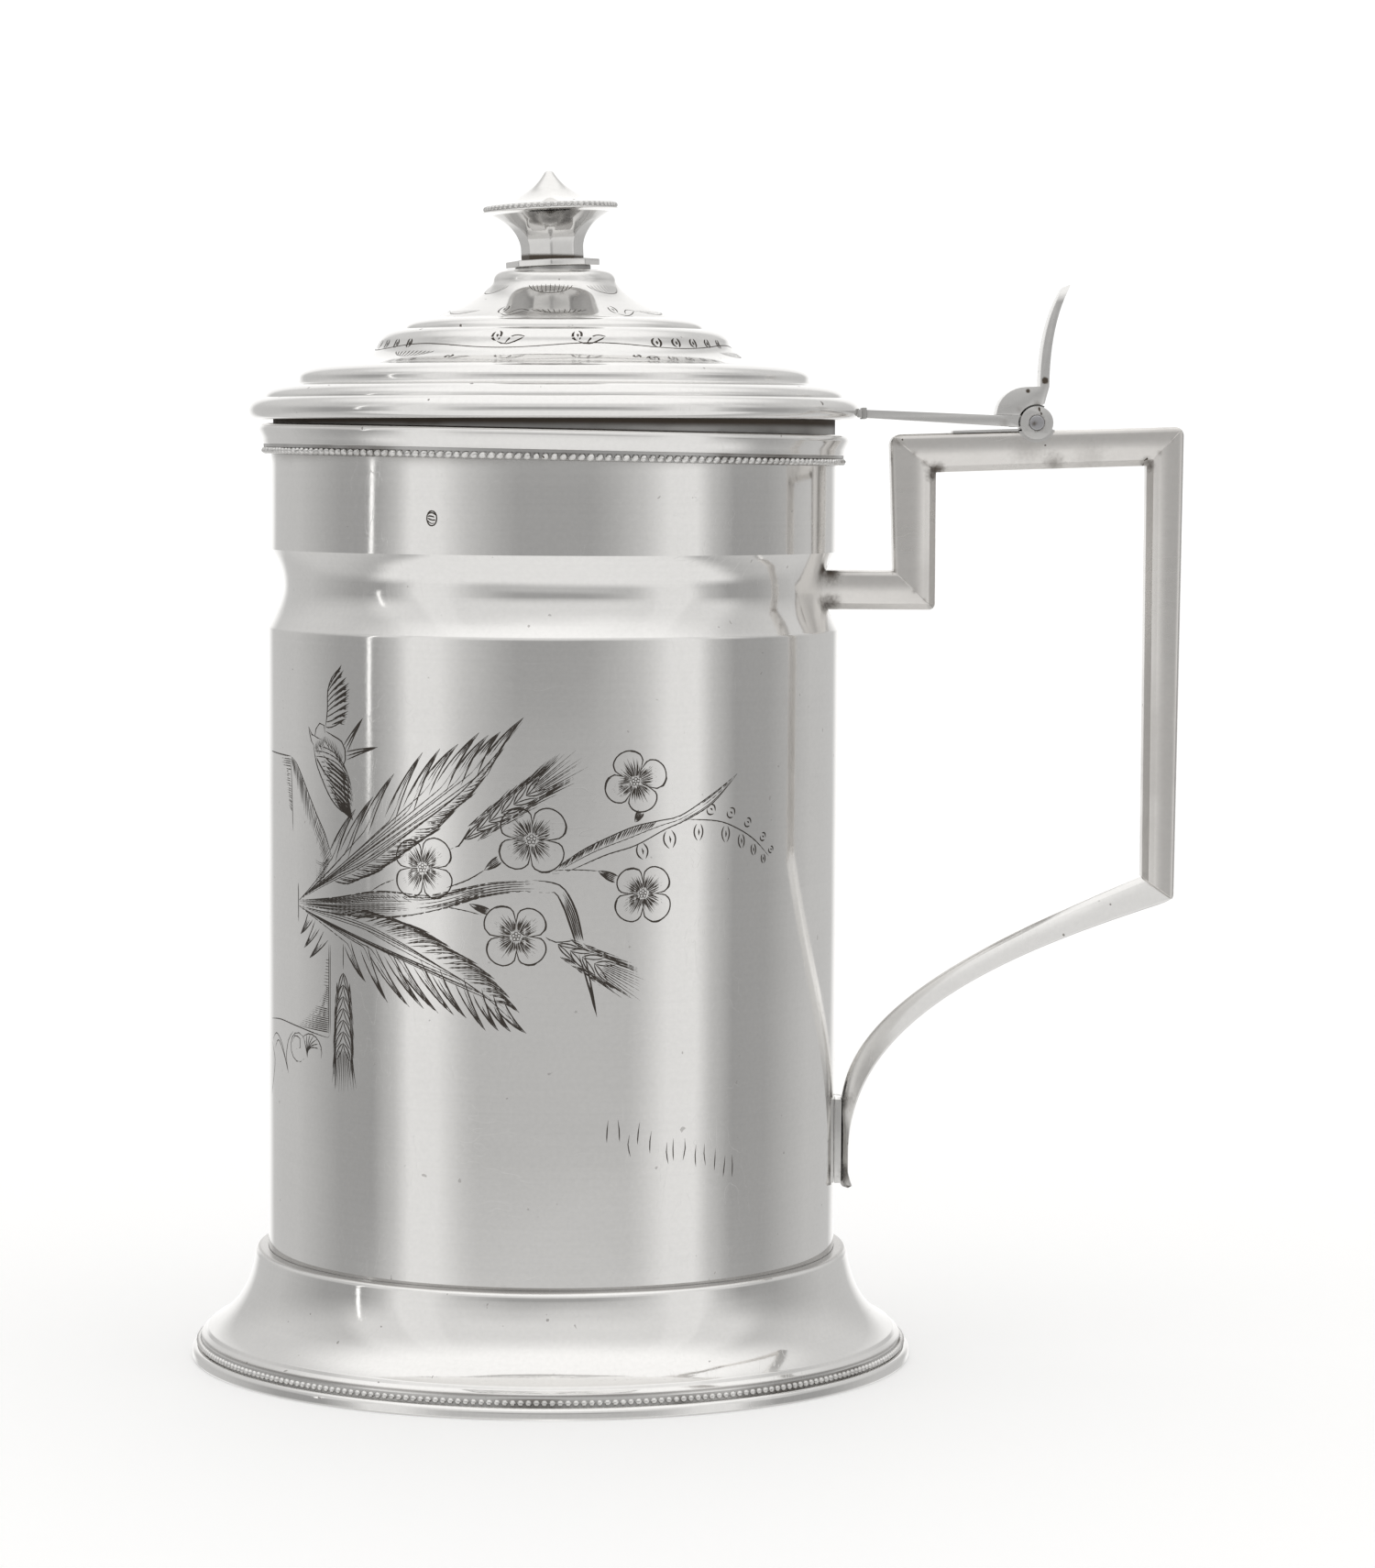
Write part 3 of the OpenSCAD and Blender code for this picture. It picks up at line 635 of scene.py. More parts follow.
def cut_lines(name, lines, profile, arc_radius, at, body):
    """Engraving on a turned surface, whose x counts from the front. lines: (points, width, taper)."""
    curve = bpy.data.curves.new(name + "_lines", "CURVE")
    curve.dimensions = "3D"
    curve.twist_mode = "Z_UP"
    for points, width, taper in lines:
        spline = curve.splines.new("POLY")
        spline.points.add(len(points) - 1)
        last = len(points) - 1
        for i, (u, v) in enumerate(points):
            t = i / last
            full = {"both": min(1, 4.5 * t + 0.12, 4.5 * (1 - t) + 0.12),
                    "end": min(1, 8 * t + 0.4, 1.5 * (1 - t) + 0.06),
                    "even": 1.0}[taper]
            spline.points[i].co = (u, v, 0, 1)
            spline.points[i].radius = width * full
    surface_curve = bpy.data.curves.new(name + "_surface", "CURVE")
    surface_curve.dimensions = "3D"
    spline = surface_curve.splines.new("POLY")
    spline.points.add(len(profile) - 1)
    for i, (r, z) in enumerate(profile):
        spline.points[i].co = (r, 0, z, 1)
    surface = linked(name + "_surface", surface_curve)
    piece = tree_piece(name, cutting_tree(), curve, {
        "Surface": surface, "Arc radius": arc_radius, "Turn": FRONT, "Finish": finish("Cut line")})
    bpy.data.objects.remove(surface)
    work = bmesh.new()
    work.from_mesh(piece.data)
    bmesh.ops.recalc_face_normals(work, faces=work.faces)
    work.to_mesh(piece.data)
    work.free()
    placed(piece.data, at)
    handed_over(piece, body, [])


# ---- turned profiles ----
def drum_radius(z):
    """Radius of the drum in its groove, which is steeper above its middle."""
    t = (z - GROOVE_Z) / GROOVE_HALF
    bite = GROOVE_DEPTH * (1 - abs(t) ** (2.1 if t > 0 else 1.6)) if abs(t) < 1 else 0
    return DRUM_R - NECK_STEP * min(1, max(0, (t + 1) / 2)) - bite


def drum_side():
    rows = 56
    groove = [GROOVE_Z + GROOVE_HALF * (2 * i / rows - 1) for i in range(rows + 1)]
    return ([(DRUM_R, DRUM_LOW), (DRUM_R, groove[0] - 0.45)] + [(drum_radius(z), z) for z in groove]
            + [(NECK_R, groove[-1] + 0.35), (NECK_R, DRUM_TOP)])


def drum_profile():
    side = drum_side()
    return eased(side + moved(side, (-DRUM_WALL, 0))[::-1], 0.12, 40, True)


def skirt_profile():
    skirt = bend((58.2, 4.95), (51.6, 8.1), (50.2, 17.5), 40)
    outer = [(59.3, BEAD_TOP), (59.3, 3.9), (58.5, 4.4)] + skirt + quarter((49.2, 17.55), 1, 1, 0, 90)
    shelf = [(48.05, 18.55), (48.05, 18), (44, 18), (44, 17.1)]
    inner = [(49.3, 17.1)] + moved(skirt[:38], (-FOOT_SHEET, -FOOT_SHEET))[::-1]
    lip = [(57.4, BEAD_TOP), (57.4, RING_TOP), (58.4, RING_TOP), (58.4, BEAD_TOP)]
    return eased(outer, 0.3, 20) + shelf + inner + lip


def base_profile():
    return eased([(57, 0), (60.6, 0), (FOOT_R, 0.3), (FOOT_R, 1.1)]
                 + quarter((FOOT_R - 0.9, 1.1), 0.9, 0.9, 0, 90)[1:] + [(57, RING_TOP)],
                 0.16, 30, True)


def mouth_profile():
    return eased([(BORE_R, -3.45), (48.86, -3.45), (49.0, -2.46)]
                 + quarter((48.7, -1.1), 0.9, 1.1, 0, 90) + [(BORE_R + 0.3, 0), (BORE_R, -0.3)],
                 0.14, 30, True)


def lid_side():
    return (quarter((SHELL_R - 4.6, 3.75), 4.6, 2.1, 0, 90, 18)
            + bend((43.65, 5.85), (42.9, 5.85), (42.9, 7.0), 8)
            + quarter((37.3, 7.0), 5.6, 2.2, 3, 90, 18)
            + bend((36.7, 9.2), (30, 10.2), (29.3, 13.3), 22)
            + bend((29.1, 13.6), (28, 15.1), (25.4, 15.2), 14)
            + quarter((20.5, 15.2), 4.5, 1.8, 0, 90, 18)
            + sweep((20.2, 17), (17.5, 18.6), (11.8, 20.4), (10.3, 23.2))
            + quarter((8.4, 23.2), 1.9, 1.9, 8, 90, 12))


def lid_profile():
    side = lid_side()
    inner = moved(side, (-0.5, -0.9))[::-1]
    return ([(0, LID_TOP), (0, LID_TOP - 0.9)] + inner + [(SHELL_R - 0.5, 2.6), (SHELL_R, 2.6)]
            + eased(side, 0.2, 35) + [(0, LID_TOP)])


def rolled_profile():
    side = quarter((LID_R - 1.3, 1.55), 1.3, 1.55, -90, 0, 16)
    side += quarter((48.6, 1.55), 2.7, 2.2, 0, 90, 20)[1:]
    return eased([(47.2, 0.3)] + side + [(48.6, 2.6), (47.2, 2.6)], 0.1, 50, True)


def cap_profile():
    tip = bend((0.8, 16.3), (0.5, 16.68), (0, 16.7), 6)
    sweep_up = bend((9.66, 11.05), (3.05, 12.6), (0.8, 16.3), 30)
    side = [(0, 9.5), (9.86, 9.5), (11.46, 9.95), (11.36, 10.1), (10.16, 10.1), (10.16, 10.86)]
    return eased(side, 0.08, 30) + sweep_up + tip[1:]


# ---- round pieces ----
def hammered(mesh, low, high, depth, size):
    """Presses shallow unevenness into a turned shell between two heights, in millimetres."""
    fade = 2.5
    for vertex in mesh.vertices:
        height = vertex.co.z / MM
        inside = min(1, max(0, min(height - low, high - height) / fade))
        if inside > 0:
            place = Vector((vertex.co.x, vertex.co.y, vertex.co.z * 1.6)) / (size * MM)
            away = Vector((vertex.co.x, vertex.co.y, 0))
            vertex.co += away.normalized() * noise.noise(place) * inside * depth * MM


def make_drum():
    drum = turned("drum_wall", drum_profile(), "Drum pewter")
    hammered(drum.data, GROOVE_Z - GROOVE_HALF - 0.4, GROOVE_Z + GROOVE_HALF + 0.3, 0.16, 13)
    handed_over(drum, VESSEL, ["drum"])


def make_foot():
    skirt = turned("coved_foot", skirt_profile(), "Foot pewter")
    hammered(skirt.data, 5, 17.5, 0.14, 16)
    handed_over(skirt, VESSEL, ["foot_skirt"])
    ring = turned("foot_ring", base_profile(), "Foot pewter")
    handed_over(ring, VESSEL, ["base_ring"])


def make_mouth():
    band = turned("lip_band", mouth_profile(), "Mouth pewter", AT_MOUTH)
    handed_over(band, VESSEL, ["mouth_band"])


def make_lid():
    shell = turned("stepped_lid", lid_profile(), "Lid pewter", AT_LID, closed=False)
    handed_over(shell, LID, ["lid_shell"])
    rim = turned("rolled_edge", rolled_profile(), "Lid pewter", AT_LID)
    handed_over(rim, LID, ["lid_rim"])


def make_beads():
    sizes = bpy.context.scene.tankard_beads
    foot_wire = [(58.45, RING_TOP), (59.55, RING_TOP), (59.55, 3.0), (59.4, BEAD_TOP), (58.45, BEAD_TOP)]
    foot = bead_ring("foot_beads", foot_wire, sizes.foot_beads, (59.62, 2.62), (1.16, 1.1, 1.02),
                     0.0, 0.05, 3, AT_REST)
    handed_over(foot, VESSEL, ["foot_beading"])
    mouth_wire = [(BORE_R, -5.05), (48.35, -5.05), (48.5, -4.9), (48.45, -4.0), (48.75, -3.95),
                  (48.78, -3.45), (BORE_R, -3.45)]
    mouth = bead_ring("mouth_beads", mouth_wire, sizes.mouth_beads, (48.5, -4.5), (1.42, 1.3, 1.1),
                      0.4, 0.1, 11, AT_MOUTH)
    handed_over(mouth, VESSEL, ["mouth_beading"])
    finial_wire = [(10.21, 10.1), (11.1, 10.1), (10.85, 10.7), (10.3, 10.95), (10.21, 11.0)]
    finial = bead_ring("finial_beads", finial_wire, sizes.finial_beads, (10.83, 10.55),
                       (1.08, 0.92, 0.96), 0.0, 0.07, 5, AT_FINIAL)
    handed_over(finial, LID, ["finial_beading"])


# ---- finial ----
def waist(height):
    """Radius of the stem across its corners, and how round it is there (0 to 1)."""
    path = bend((5.26, 3.88), (5.56, 7.3), (9.86, 9.5), 40)
    if height <= path[0][1]:
        return 5.26, 0.0
    for (r0, z0), (r1, z1) in zip(path, path[1:]):
        if height <= z1:
            share = (height - z0) / (z1 - z0)
            return r0 + (r1 - r0) * share, min(1, max(0, (height - 5.6) / 2.9))
    return 9.86, 1.0


def make_finial():
    rows = [1.7 + 7.8 * (i / 44) ** 0.85 for i in range(45)]
    around = 192
    verts = []
    for height in rows:
        radius, roundness = waist(height)
        flat = radius * (math.cos(math.pi / 8) + (1 - math.cos(math.pi / 8)) * roundness)
        for k in range(around):
            turn = 2 * math.pi * k / around
            off = (turn % (math.pi / 4)) - math.pi / 8
            reach = min(radius - 0.03, flat / math.cos(off))
            verts.append((reach * math.cos(turn), reach * math.sin(turn), height))
    faces = tube_faces(len(rows), around)
    faces.append(tuple(range(around))[::-1])
    faces.append(tuple(range((len(rows) - 1) * around, len(rows) * around)))
    stem = mesh_piece("waisted_stem", verts, faces, "Stem pewter")
    placed(stem.data, AT_FINIAL)
    handed_over(stem, LID, ["finial_stem"], 14)
    cap = turned("pointed_cap", cap_profile(), "Finial pewter", AT_FINIAL, 128, False)
    handed_over(cap, LID, ["finial_cap"])
    filed("octagon_plate", "finial_plate", "Finial pewter", 0.2, LID)
    filed("solder_wedge", "finial_collar", "Solder", 0.12, LID)


# ---- filed and bevelled pieces ----
def filed(name, node, material, arris, body):
    """A copy of the CAD node with its faces merged and its arrises rounded."""
    mesh = frame["nodes"][node].data.copy()
    mesh.name = name
    mesh.materials.clear()
    mesh.materials.append(finish(material))
    work = bmesh.new()
    work.from_mesh(mesh)
    for face in work.faces:
        face.material_index = 0
    bmesh.ops.remove_doubles(work, verts=work.verts, dist=2e-6)
    bmesh.ops.dissolve_limit(work, angle_limit=math.radians(0.6), verts=work.verts, edges=work.edges)
    work.to_mesh(mesh)
    work.free()
    piece = bevelled(linked(name + "_source", mesh), name, arris, 3, 28)
    handed_over(piece, body, [node])


HALF_W = 4.0
# Half of a bar's section: (depth, half width); depth counts from the finger side, or from the
# outer face where it is negative.
BAR_SECTION = [(0, 1.9), (0.06, 2.06), (0.98, 3.0), (1.06, 3.1), (1.16, 3.16), (1.86, 3.36),
               (1.98, 3.42), (2.6, 3.68), (3.4, 3.88), (4.3, 3.98), (-0.9, HALF_W), (-0.62, 3.97),
               (-0.36, 3.86), (-0.16, 3.66), (-0.04, 3.4), (-0.001, 3.1)]


def crossing(p, d, q, e):
    """Where the line p + t d meets the line q + s e, in the plane."""
    cross = d[0] * e[1] - d[1] * e[0]
    t = ((q[0] - p[0]) * e[1] - (q[1] - p[1]) * e[0]) / cross
    return Vector((p[0] + t * d[0], p[1] + t * d[1]))


def bar_rings(outline):
    """Two mitred ends of a bar. outline: outer start, outer end, inner end, inner start."""
    outer_a, outer_b, inner_b, inner_a = [Vector(p) for p in outline]
    along_inner = (inner_b - inner_a).normalized()
    out = Vector((-along_inner.y, along_inner.x))
    if out.dot(outer_a - inner_a) < 0:
        out = -out
    along_outer = (outer_b - outer_a).normalized()
    inward = Vector((-along_outer.y, along_outer.x))
    if inward.dot(inner_a - outer_a) < 0:
        inward = -inward
    rings = []
    for inner, outer in ((inner_a, outer_a), (inner_b, outer_b)):
        ring = []
        for depth, half in BAR_SECTION:
            if depth < 0:
                start, way = outer + inward * -depth, along_outer
            else:
                start, way = inner + out * depth, along_inner
            ring.append((crossing(start, way, inner, outer - inner), half))
        rings.append(ring)
    return rings


def wear(corner, first, second, radius):
    """A corner rounded by wear: the middle of its arc, its two outward ways and its radius."""
    a, b = Vector(first).normalized(), Vector(second).normalized()
    return Vector(corner) - (a + b) * radius / (1 + a.dot(b)), a, b, radius


def worn(point):
    """The point in the handle's plane, brought back onto the worn corner that it sticks out of."""
    for middle, a, b, radius in WORN_CORNERS:
        away = point - middle
        beyond = away.length > radius and max(away.dot(a), away.dot(b)) < 1.2 * radius
        if beyond and away.dot(a) > 0 and away.dot(b) > 0:
            return middle + away.normalized() * radius
    return point


def stations(length):
    """Shares along a bar, close together near its ends and about 3 mm apart between them."""
    near = [0, 0.15, 0.3, 0.5, 0.7, 0.95, 1.25, 1.6, 2.0, 2.6]
    rest = length - 2 * near[-1]
    middle = max(1, int(rest / 3))
    places = near + [near[-1] + rest * i / middle for i in range(1, middle)]
    return [d / length for d in places] + [1 - d / length for d in reversed(near)]


def lofted(name, rings, material):
    """A closed solid through half sections, each a list of (point in the plane, half width)."""
    verts = []
    for ring in rings:
        ring = [(worn(Vector(point)), half) for point, half in ring]
        verts += [(p.x, -half, p.y) for p, half in ring]
        verts += [(p.x, half, p.y) for p, half in reversed(ring)]
    size = 2 * len(rings[0])
    faces = [tuple(range(size))] + tube_faces(len(rings), size)
    faces.append(tuple(range((len(rings) - 1) * size, len(rings) * size))[::-1])
    piece = mesh_piece(name, verts, faces, material)
    outward(piece.data)
    placed(piece.data, AT_REST)
    return piece


def bar(name, outline, nodes):
    """A mitred bar, faceted on the finger side and rounded by use."""
    start, end = bar_rings(outline)
    rings = [[(a.lerp(b, share), half) for (a, half), (b, _) in zip(start, end)]
             for share in stations((Vector(outline[1]) - Vector(outline[0])).length)]
    piece = bevelled(lofted(name + "_plain", rings, "Handle pewter"), name, 0.1, 2, 38)
    return handed_over(piece, VESSEL, nodes, 18)


TOP_FORE = (56.36, 156.1)
TOP_BACK = (105.7, 157.7)
UNDER_FORE = (64.21, 149.8)
UNDER_BACK = (99.6, 151.1)
LOW_BACK = (104.9, 78.0)
LOW_INNER = (99.6, 81.8)
RISER_FOOT = (57.16, 133.25)
RISER_INNER = (64.21, 126.7)
STUB_TOP = (45.0, 133.25)
STUB_LOW = (45.0, 126.7)
WORN_CORNERS = [wear(TOP_FORE, (-1, -0.03), (-0.03, 1), 1.9), wear(TOP_BACK, (1, -0.01), (-0.03, 1), 1.6),
                wear(LOW_BACK, (1, -0.01), (0.3, -0.95), 1.6), wear(RISER_INNER, (1, 0), (0, -1), 1.1)]
HANDLE_TARNISH = (
    (64.2, 3.1, 149.8, 2.6, 1.0), (64.2, 3.2, 126.9, 2.0, 0.6), (46.6, 3.8, 133.0, 3.2, 0.8),
    (46.6, 3.8, 127.0, 3.4, 0.8), (99.6, 3.1, 151.1, 2.2, 0.9), (57.4, 3.8, 155.0, 1.4, 0.5),
    (79.5, 3.6, 154.0, 5.0, 0.3), (84, 2.6, 151.6, 3.0, 0.5), (90, 3.2, 152.5, 5.0, 0.25),
    (99.4, 3.1, 82.2, 1.4, 0.6)) + along_seam(TOP_FORE, UNDER_FORE, 1.1, 0.4, 5) + along_seam(
    RISER_FOOT, RISER_INNER, 0.9, 0.35, 5) + along_seam(TOP_BACK, UNDER_BACK, 0.9, 0.3)
HINGE_TARNISH = (
    (80.9, 4, 158.2, 2.0, 2.2), (80.9, 4.0, 161.2, 1.3, 0.5), (82.2, 4, 165.3, 0.95, 1.6),
    (79.4, 4, 163.5, 0.55, 1.4), (77.9, 4, 160.4, 1.0, 0.4), (75.5, 4, 158.2, 1.6, 0.4))
# Half of the strap's section: (share from the upper to the lower side, half width).
STRAP_SECTION = [(0, 1.5), (0.04, 1.74), (0.16, 2.16), (0.19, 2.26), (0.36, 2.62), (0.41, 2.74),
                 (0.6, 3.06), (0.8, 3.4), (0.92, 3.6), (0.97, 3.54), (1, 3.3)]


def make_handle():
    bar("handle_upright", [RISER_FOOT, TOP_FORE, UNDER_FORE, RISER_INNER], ["handle_riser"])
    bar("handle_outer_bar", [TOP_BACK, LOW_BACK, LOW_INNER, UNDER_BACK], ["handle_grip"])
    bar("handle_short_bar", [STUB_TOP, RISER_FOOT, RISER_INNER, STUB_LOW], ["handle_stub"])
    upper = bar("handle_upper_bar", [TOP_FORE, TOP_BACK, UNDER_BACK, UNDER_FORE], [])
    hollow_out(upper, "handle_top_bar")
    inner = sweep(LOW_INNER, (76, 71.7), (49.1, 59.8), (49.1, 42), 60)
    outer = sweep(LOW_BACK, (76.7, 68.8), (50.3, 57.7), (50.3, 34.6), 60)
    for k in range(1, 8):
        inner.append((49.1, 42 - 12.9 * k / 7))
        outer.append((50.3 + 0.7 * max(0, (k - 4) / 3) ** 1.5, 34.6 - 5.6 * k / 7))
    inner.append((49.3, 28.75))
    outer.append((50.4, 28.7))
    rings = [[(Vector(a).lerp(Vector(b), share), half) for share, half in STRAP_SECTION]
             for a, b in zip(inner, outer)]
    strap = lofted("handle_strap", rings, "Strap pewter")
    handed_over(strap, VESSEL, ["handle_tail"], 18)
    filed("strap_pad", "tail_pad", "Strap pewter", 0.1, VESSEL)


def ring_sector(name, low, high, near, far, start, end, material):
    """Part of a ring round the pin, from one turn to another in degrees, between two widths."""
    count = 24
    verts = []
    for i in range(count + 1):
        turn = math.radians(start + (end - start) * i / count)
        for radius, y in ((low, near), (high, near), (high, far), (low, far)):
            verts.append((PIN_X + radius * math.cos(turn), y, PIN_Z + radius * math.sin(turn)))
    faces = [(0, 1, 2, 3), (4 * count + 3, 4 * count + 2, 4 * count + 1, 4 * count)]
    piece = mesh_piece(name, verts, faces + tube_faces(count + 1, 4), material)
    outward(piece.data)
    placed(piece.data, AT_REST)
    return piece


PIN_X, _, PIN_Z = [c / MM for c in frame["joints"][0]["pos_m"]]
KNUCKLE_HALF = 2.0
RELIEF_R = 3.07


def hollow_out(bar_piece, node):
    """Cuts the hollow for the middle knuckle into the upper bar."""
    cutter = ring_sector("hollow", 0.0, RELIEF_R, -KNUCKLE_HALF, KNUCKLE_HALF, 150, 390, "Handle pewter")
    cut = bar_piece.modifiers.new("Hollow", "BOOLEAN")
    cut.operation = "DIFFERENCE"
    cut.solver = "EXACT"
    cut.object = cutter
    name = bar_piece.name
    piece = baked(bar_piece, name)
    bpy.data.objects.remove(cutter)
    handed_over(piece, VESSEL, [node], 18)


def make_hinge():
    filed("fixed_leaf", "hinge_leaf", "Hinge pewter", 0.08, VESSEL)
    seats = [ring_sector(f"seat_{k}", 2.5, 3.3, k * KNUCKLE_HALF, k * HALF_W, 202, 338, "Hinge pewter")
             for k in (-1, 1)]
    handed_over(joined("knuckle_seat", seats), VESSEL, [])
    filed("turning_pin", "hinge_pin", "Pin steel", 0.16, VESSEL)
    filed("arm", "lid_arm", "Hinge pewter", 0.1, LID)
    filed("arm_solder", "arm_collar", "Solder", 0.1, LID)
    filed("lever", "thumb_lever", "Hinge pewter", 0.07, LID)
    # A thin dark ring round the upper side of the knuckle: a painted shadow in the gap.
    gap_shadow = ring_sector("knuckle_liner", 2.7, 3.15, -1.6, 1.6, 62, 190, "Lid seat")
    handed_over(gap_shadow, LID, [])


def make_hidden():
    """Gives the CAD nodes that stay in view their finish."""
    # The lid's bezel takes the darker lid seat finish, painted shade in the gap under the lid.
    looks = {"drum_floor": "Inner pewter", "lid_bezel": "Lid seat", "finial_stud": "Pin steel",
             "finial_washer": "Pin steel", "finial_nut": "Pin steel"}
    for node, look in looks.items():
        mesh = frame["nodes"][node].data
        mesh.materials.clear()
        mesh.materials.append(finish(look))


# ---- engraving ----
class Graver:
    """Collects cut lines drawn flat: x runs round the surface and y up it, in millimetres."""

    def __init__(self, seed):
        self.lines = []
        self.hand = random.Random(seed)
        self.wide = bpy.context.scene.tankard_cutting.line_width

    def cut(self, points, width=1.0, taper="both", step=0.9):
        self.lines.append((resampled(points, step), width * self.wide, taper))

    def around(self, size):
        return self.hand.uniform(-size, size)

    def between(self, low, high, count, start, end, width, fade):
        """Close lines between two edges, which run together from one end to the other."""
        for k in range(count):
            share = (k + 0.5) / count
            first = start + self.hand.uniform(0, fade)
            last = end - self.hand.uniform(0, fade * 0.3)
            path = []
            for i in range(6):
                t = first + (last - first) * i / 5
                a, b = along(low, t), along(high, t)
                path.append((a[0] + (b[0] - a[0]) * share, a[1] + (b[1] - a[1]) * share))
            self.cut(path, width * self.hand.uniform(0.7, 1.2))

    def rungs(self, low, high, count, lean, start, end, width, reach):
        """Short lines from one edge towards the other."""
        for k in range(count):
            t = start + (end - start) * (k + 0.5 + self.around(0.25)) / count
            a, b = along(low, t), along(high, min(1, max(0, t + lean)))
            far = reach * self.hand.uniform(0.75, 1.0)
            c = (a[0] + (b[0] - a[0]) * far, a[1] + (b[1] - a[1]) * far)
            self.cut([a, ((a[0] + c[0]) / 2 + self.around(0.08), (a[1] + c[1]) / 2), c], width, "end")


def along(path, t):
    """The point at a share of a path's points, 0 to 1."""
    place = min(max(t, 0), 1) * (len(path) - 1)
    i = min(int(place), len(path) - 2)
    share = place - i
    return tuple(a + (b - a) * share for a, b in zip(path[i], path[i + 1]))


def polar(x, y, reach, turn):
    """The point at a reach and a turn from another."""
    return x + reach * math.cos(turn), y + reach * math.sin(turn)


def beside(point, way, ahead, aside):
    """A point some way ahead of another, and some way to its left."""
    return (point[0] + way[0] * ahead - way[1] * aside, point[1] + way[1] * ahead + way[0] * aside)


def heading(root, tip):
    """The way from root to tip, and the length between them."""
    length = math.dist(root, tip)
    return ((tip[0] - root[0]) / length, (tip[1] - root[1]) / length), length


def flower(tool, x, y, size, turn):
    """Four round petals, shaded from the heart outwards."""
    for k in range(4):
        way = turn + 90 * k
        grow = size * (1 + tool.around(0.05))
        edge = []
        for i in range(19):
            s = -1 + i / 9
            swing = math.radians(way + 44 * s + tool.around(0.8))
            reach = grow * (0.4 + 0.6 * (1 - s * s) ** 0.42)
            edge.append((x + 1.05 * reach * math.cos(swing), y + reach * math.sin(swing)))
        for side in (0, -1):
            swing = math.radians(way + (-44 if side == 0 else 44))
            heart = polar(x, y, 0.16 * size, swing)
            edge = [heart] + edge if side == 0 else edge + [heart]
        tool.cut(edge, 1.0, "both", 0.5)
        tool.cut([(a + 0.1, b - 0.12) for a, b in edge[3:9]], 0.8)
        for i in range(17):
            s = -1 + i / 8
            swing = math.radians(way + 36 * s + tool.around(2))
            inner = size * tool.hand.uniform(0.15, 0.22)
            outer = size * (0.48 + 0.22 * (1 - s * s) + tool.around(0.12))
            middle = (inner + outer) / 2
            tool.cut([polar(x, y, inner, swing), polar(x, y, middle, swing + 0.06 * s),
                      polar(x, y, outer, swing)], 0.85, "end")
    for k in range(5):
        seed = polar(x, y, size * 0.085, k * 1.26 + 0.3)
        tool.cut([polar(*seed, size * 0.05, j) for j in range(7)], 0.55, "even", 0.3)


def blade(tool, root, tip, wide, bow, lines=4):
    """A pointed blade of a leaf, dark towards its tip."""
    way, length = heading(root, tip)
    edges = []
    for side in (0.5, -0.5):
        start = beside(root, way, 0, wide * side)
        middle = beside(root, way, length * 0.5, bow + wide * side * 0.6)
        edges.append(bend(start, middle, tip, 10))
        tool.cut(edges[-1], 0.95)
    tool.between(edges[0], edges[1], lines, 0.12, 0.97, 0.65, 0.45)


def frond(tool, origin, roots, tips, spine, lobes, wide, bow):
    """A feathered leaf: blades on one side of the spine, saw-toothed strokes on the other."""
    side = 1 if bow > 0 else -1
    for i, (root, tip) in enumerate(zip(roots, tips)):
        blade(tool, root, tip, wide, bow)
        turn = (origin[0] + (root[0] - origin[0]) * 0.5, origin[1] + (root[1] - origin[1]) * 0.34)
        path = bend(origin, turn, root, 10)
        tool.cut(path + [along([root, tip], 0.35)], 0.7)
        tool.cut(path[2 + i % 3:], 0.5)
    smooth = resampled(spine, 2.0)
    for k, (shift, first, last) in enumerate(
            ((0.0, 0, 1), (0.45, 0.02, 0.96), (-0.4, 0.0, 0.9), (0.9, 0.3, 0.9))):
        path = [along(smooth, first + (last - first) * i / 12) for i in range(13)]
        tool.cut([(a, b + side * shift * math.sin(math.pi * min(1, i / 9 + 0.05)))
                  for i, (a, b) in enumerate(path)], 0.85 if k == 0 else 0.6)
    for i, (here, after) in enumerate(zip(lobes, lobes[1:])):
        for k in range(9):
            share = (k + 0.5) / 9
            rim = Vector(along([here, after], share))
            heart = Vector(along(smooth, 0.93 - 0.78 * (i + share + 0.9) / len(lobes)))
            out = rim - heart
            peak = rim + out.normalized() * (0.2 + 0.6 * (1 - share))
            root = heart + out * tool.hand.uniform(0.15, 0.5)
            middle = (root + peak) / 2 + Vector((out.y, -out.x)) * 0.08 * side
            tool.cut([tuple(root), tuple(middle), tuple(peak)], 0.7)
        tool.cut([tuple(Vector(here) + out.normalized() * 0.7), after], 0.8)


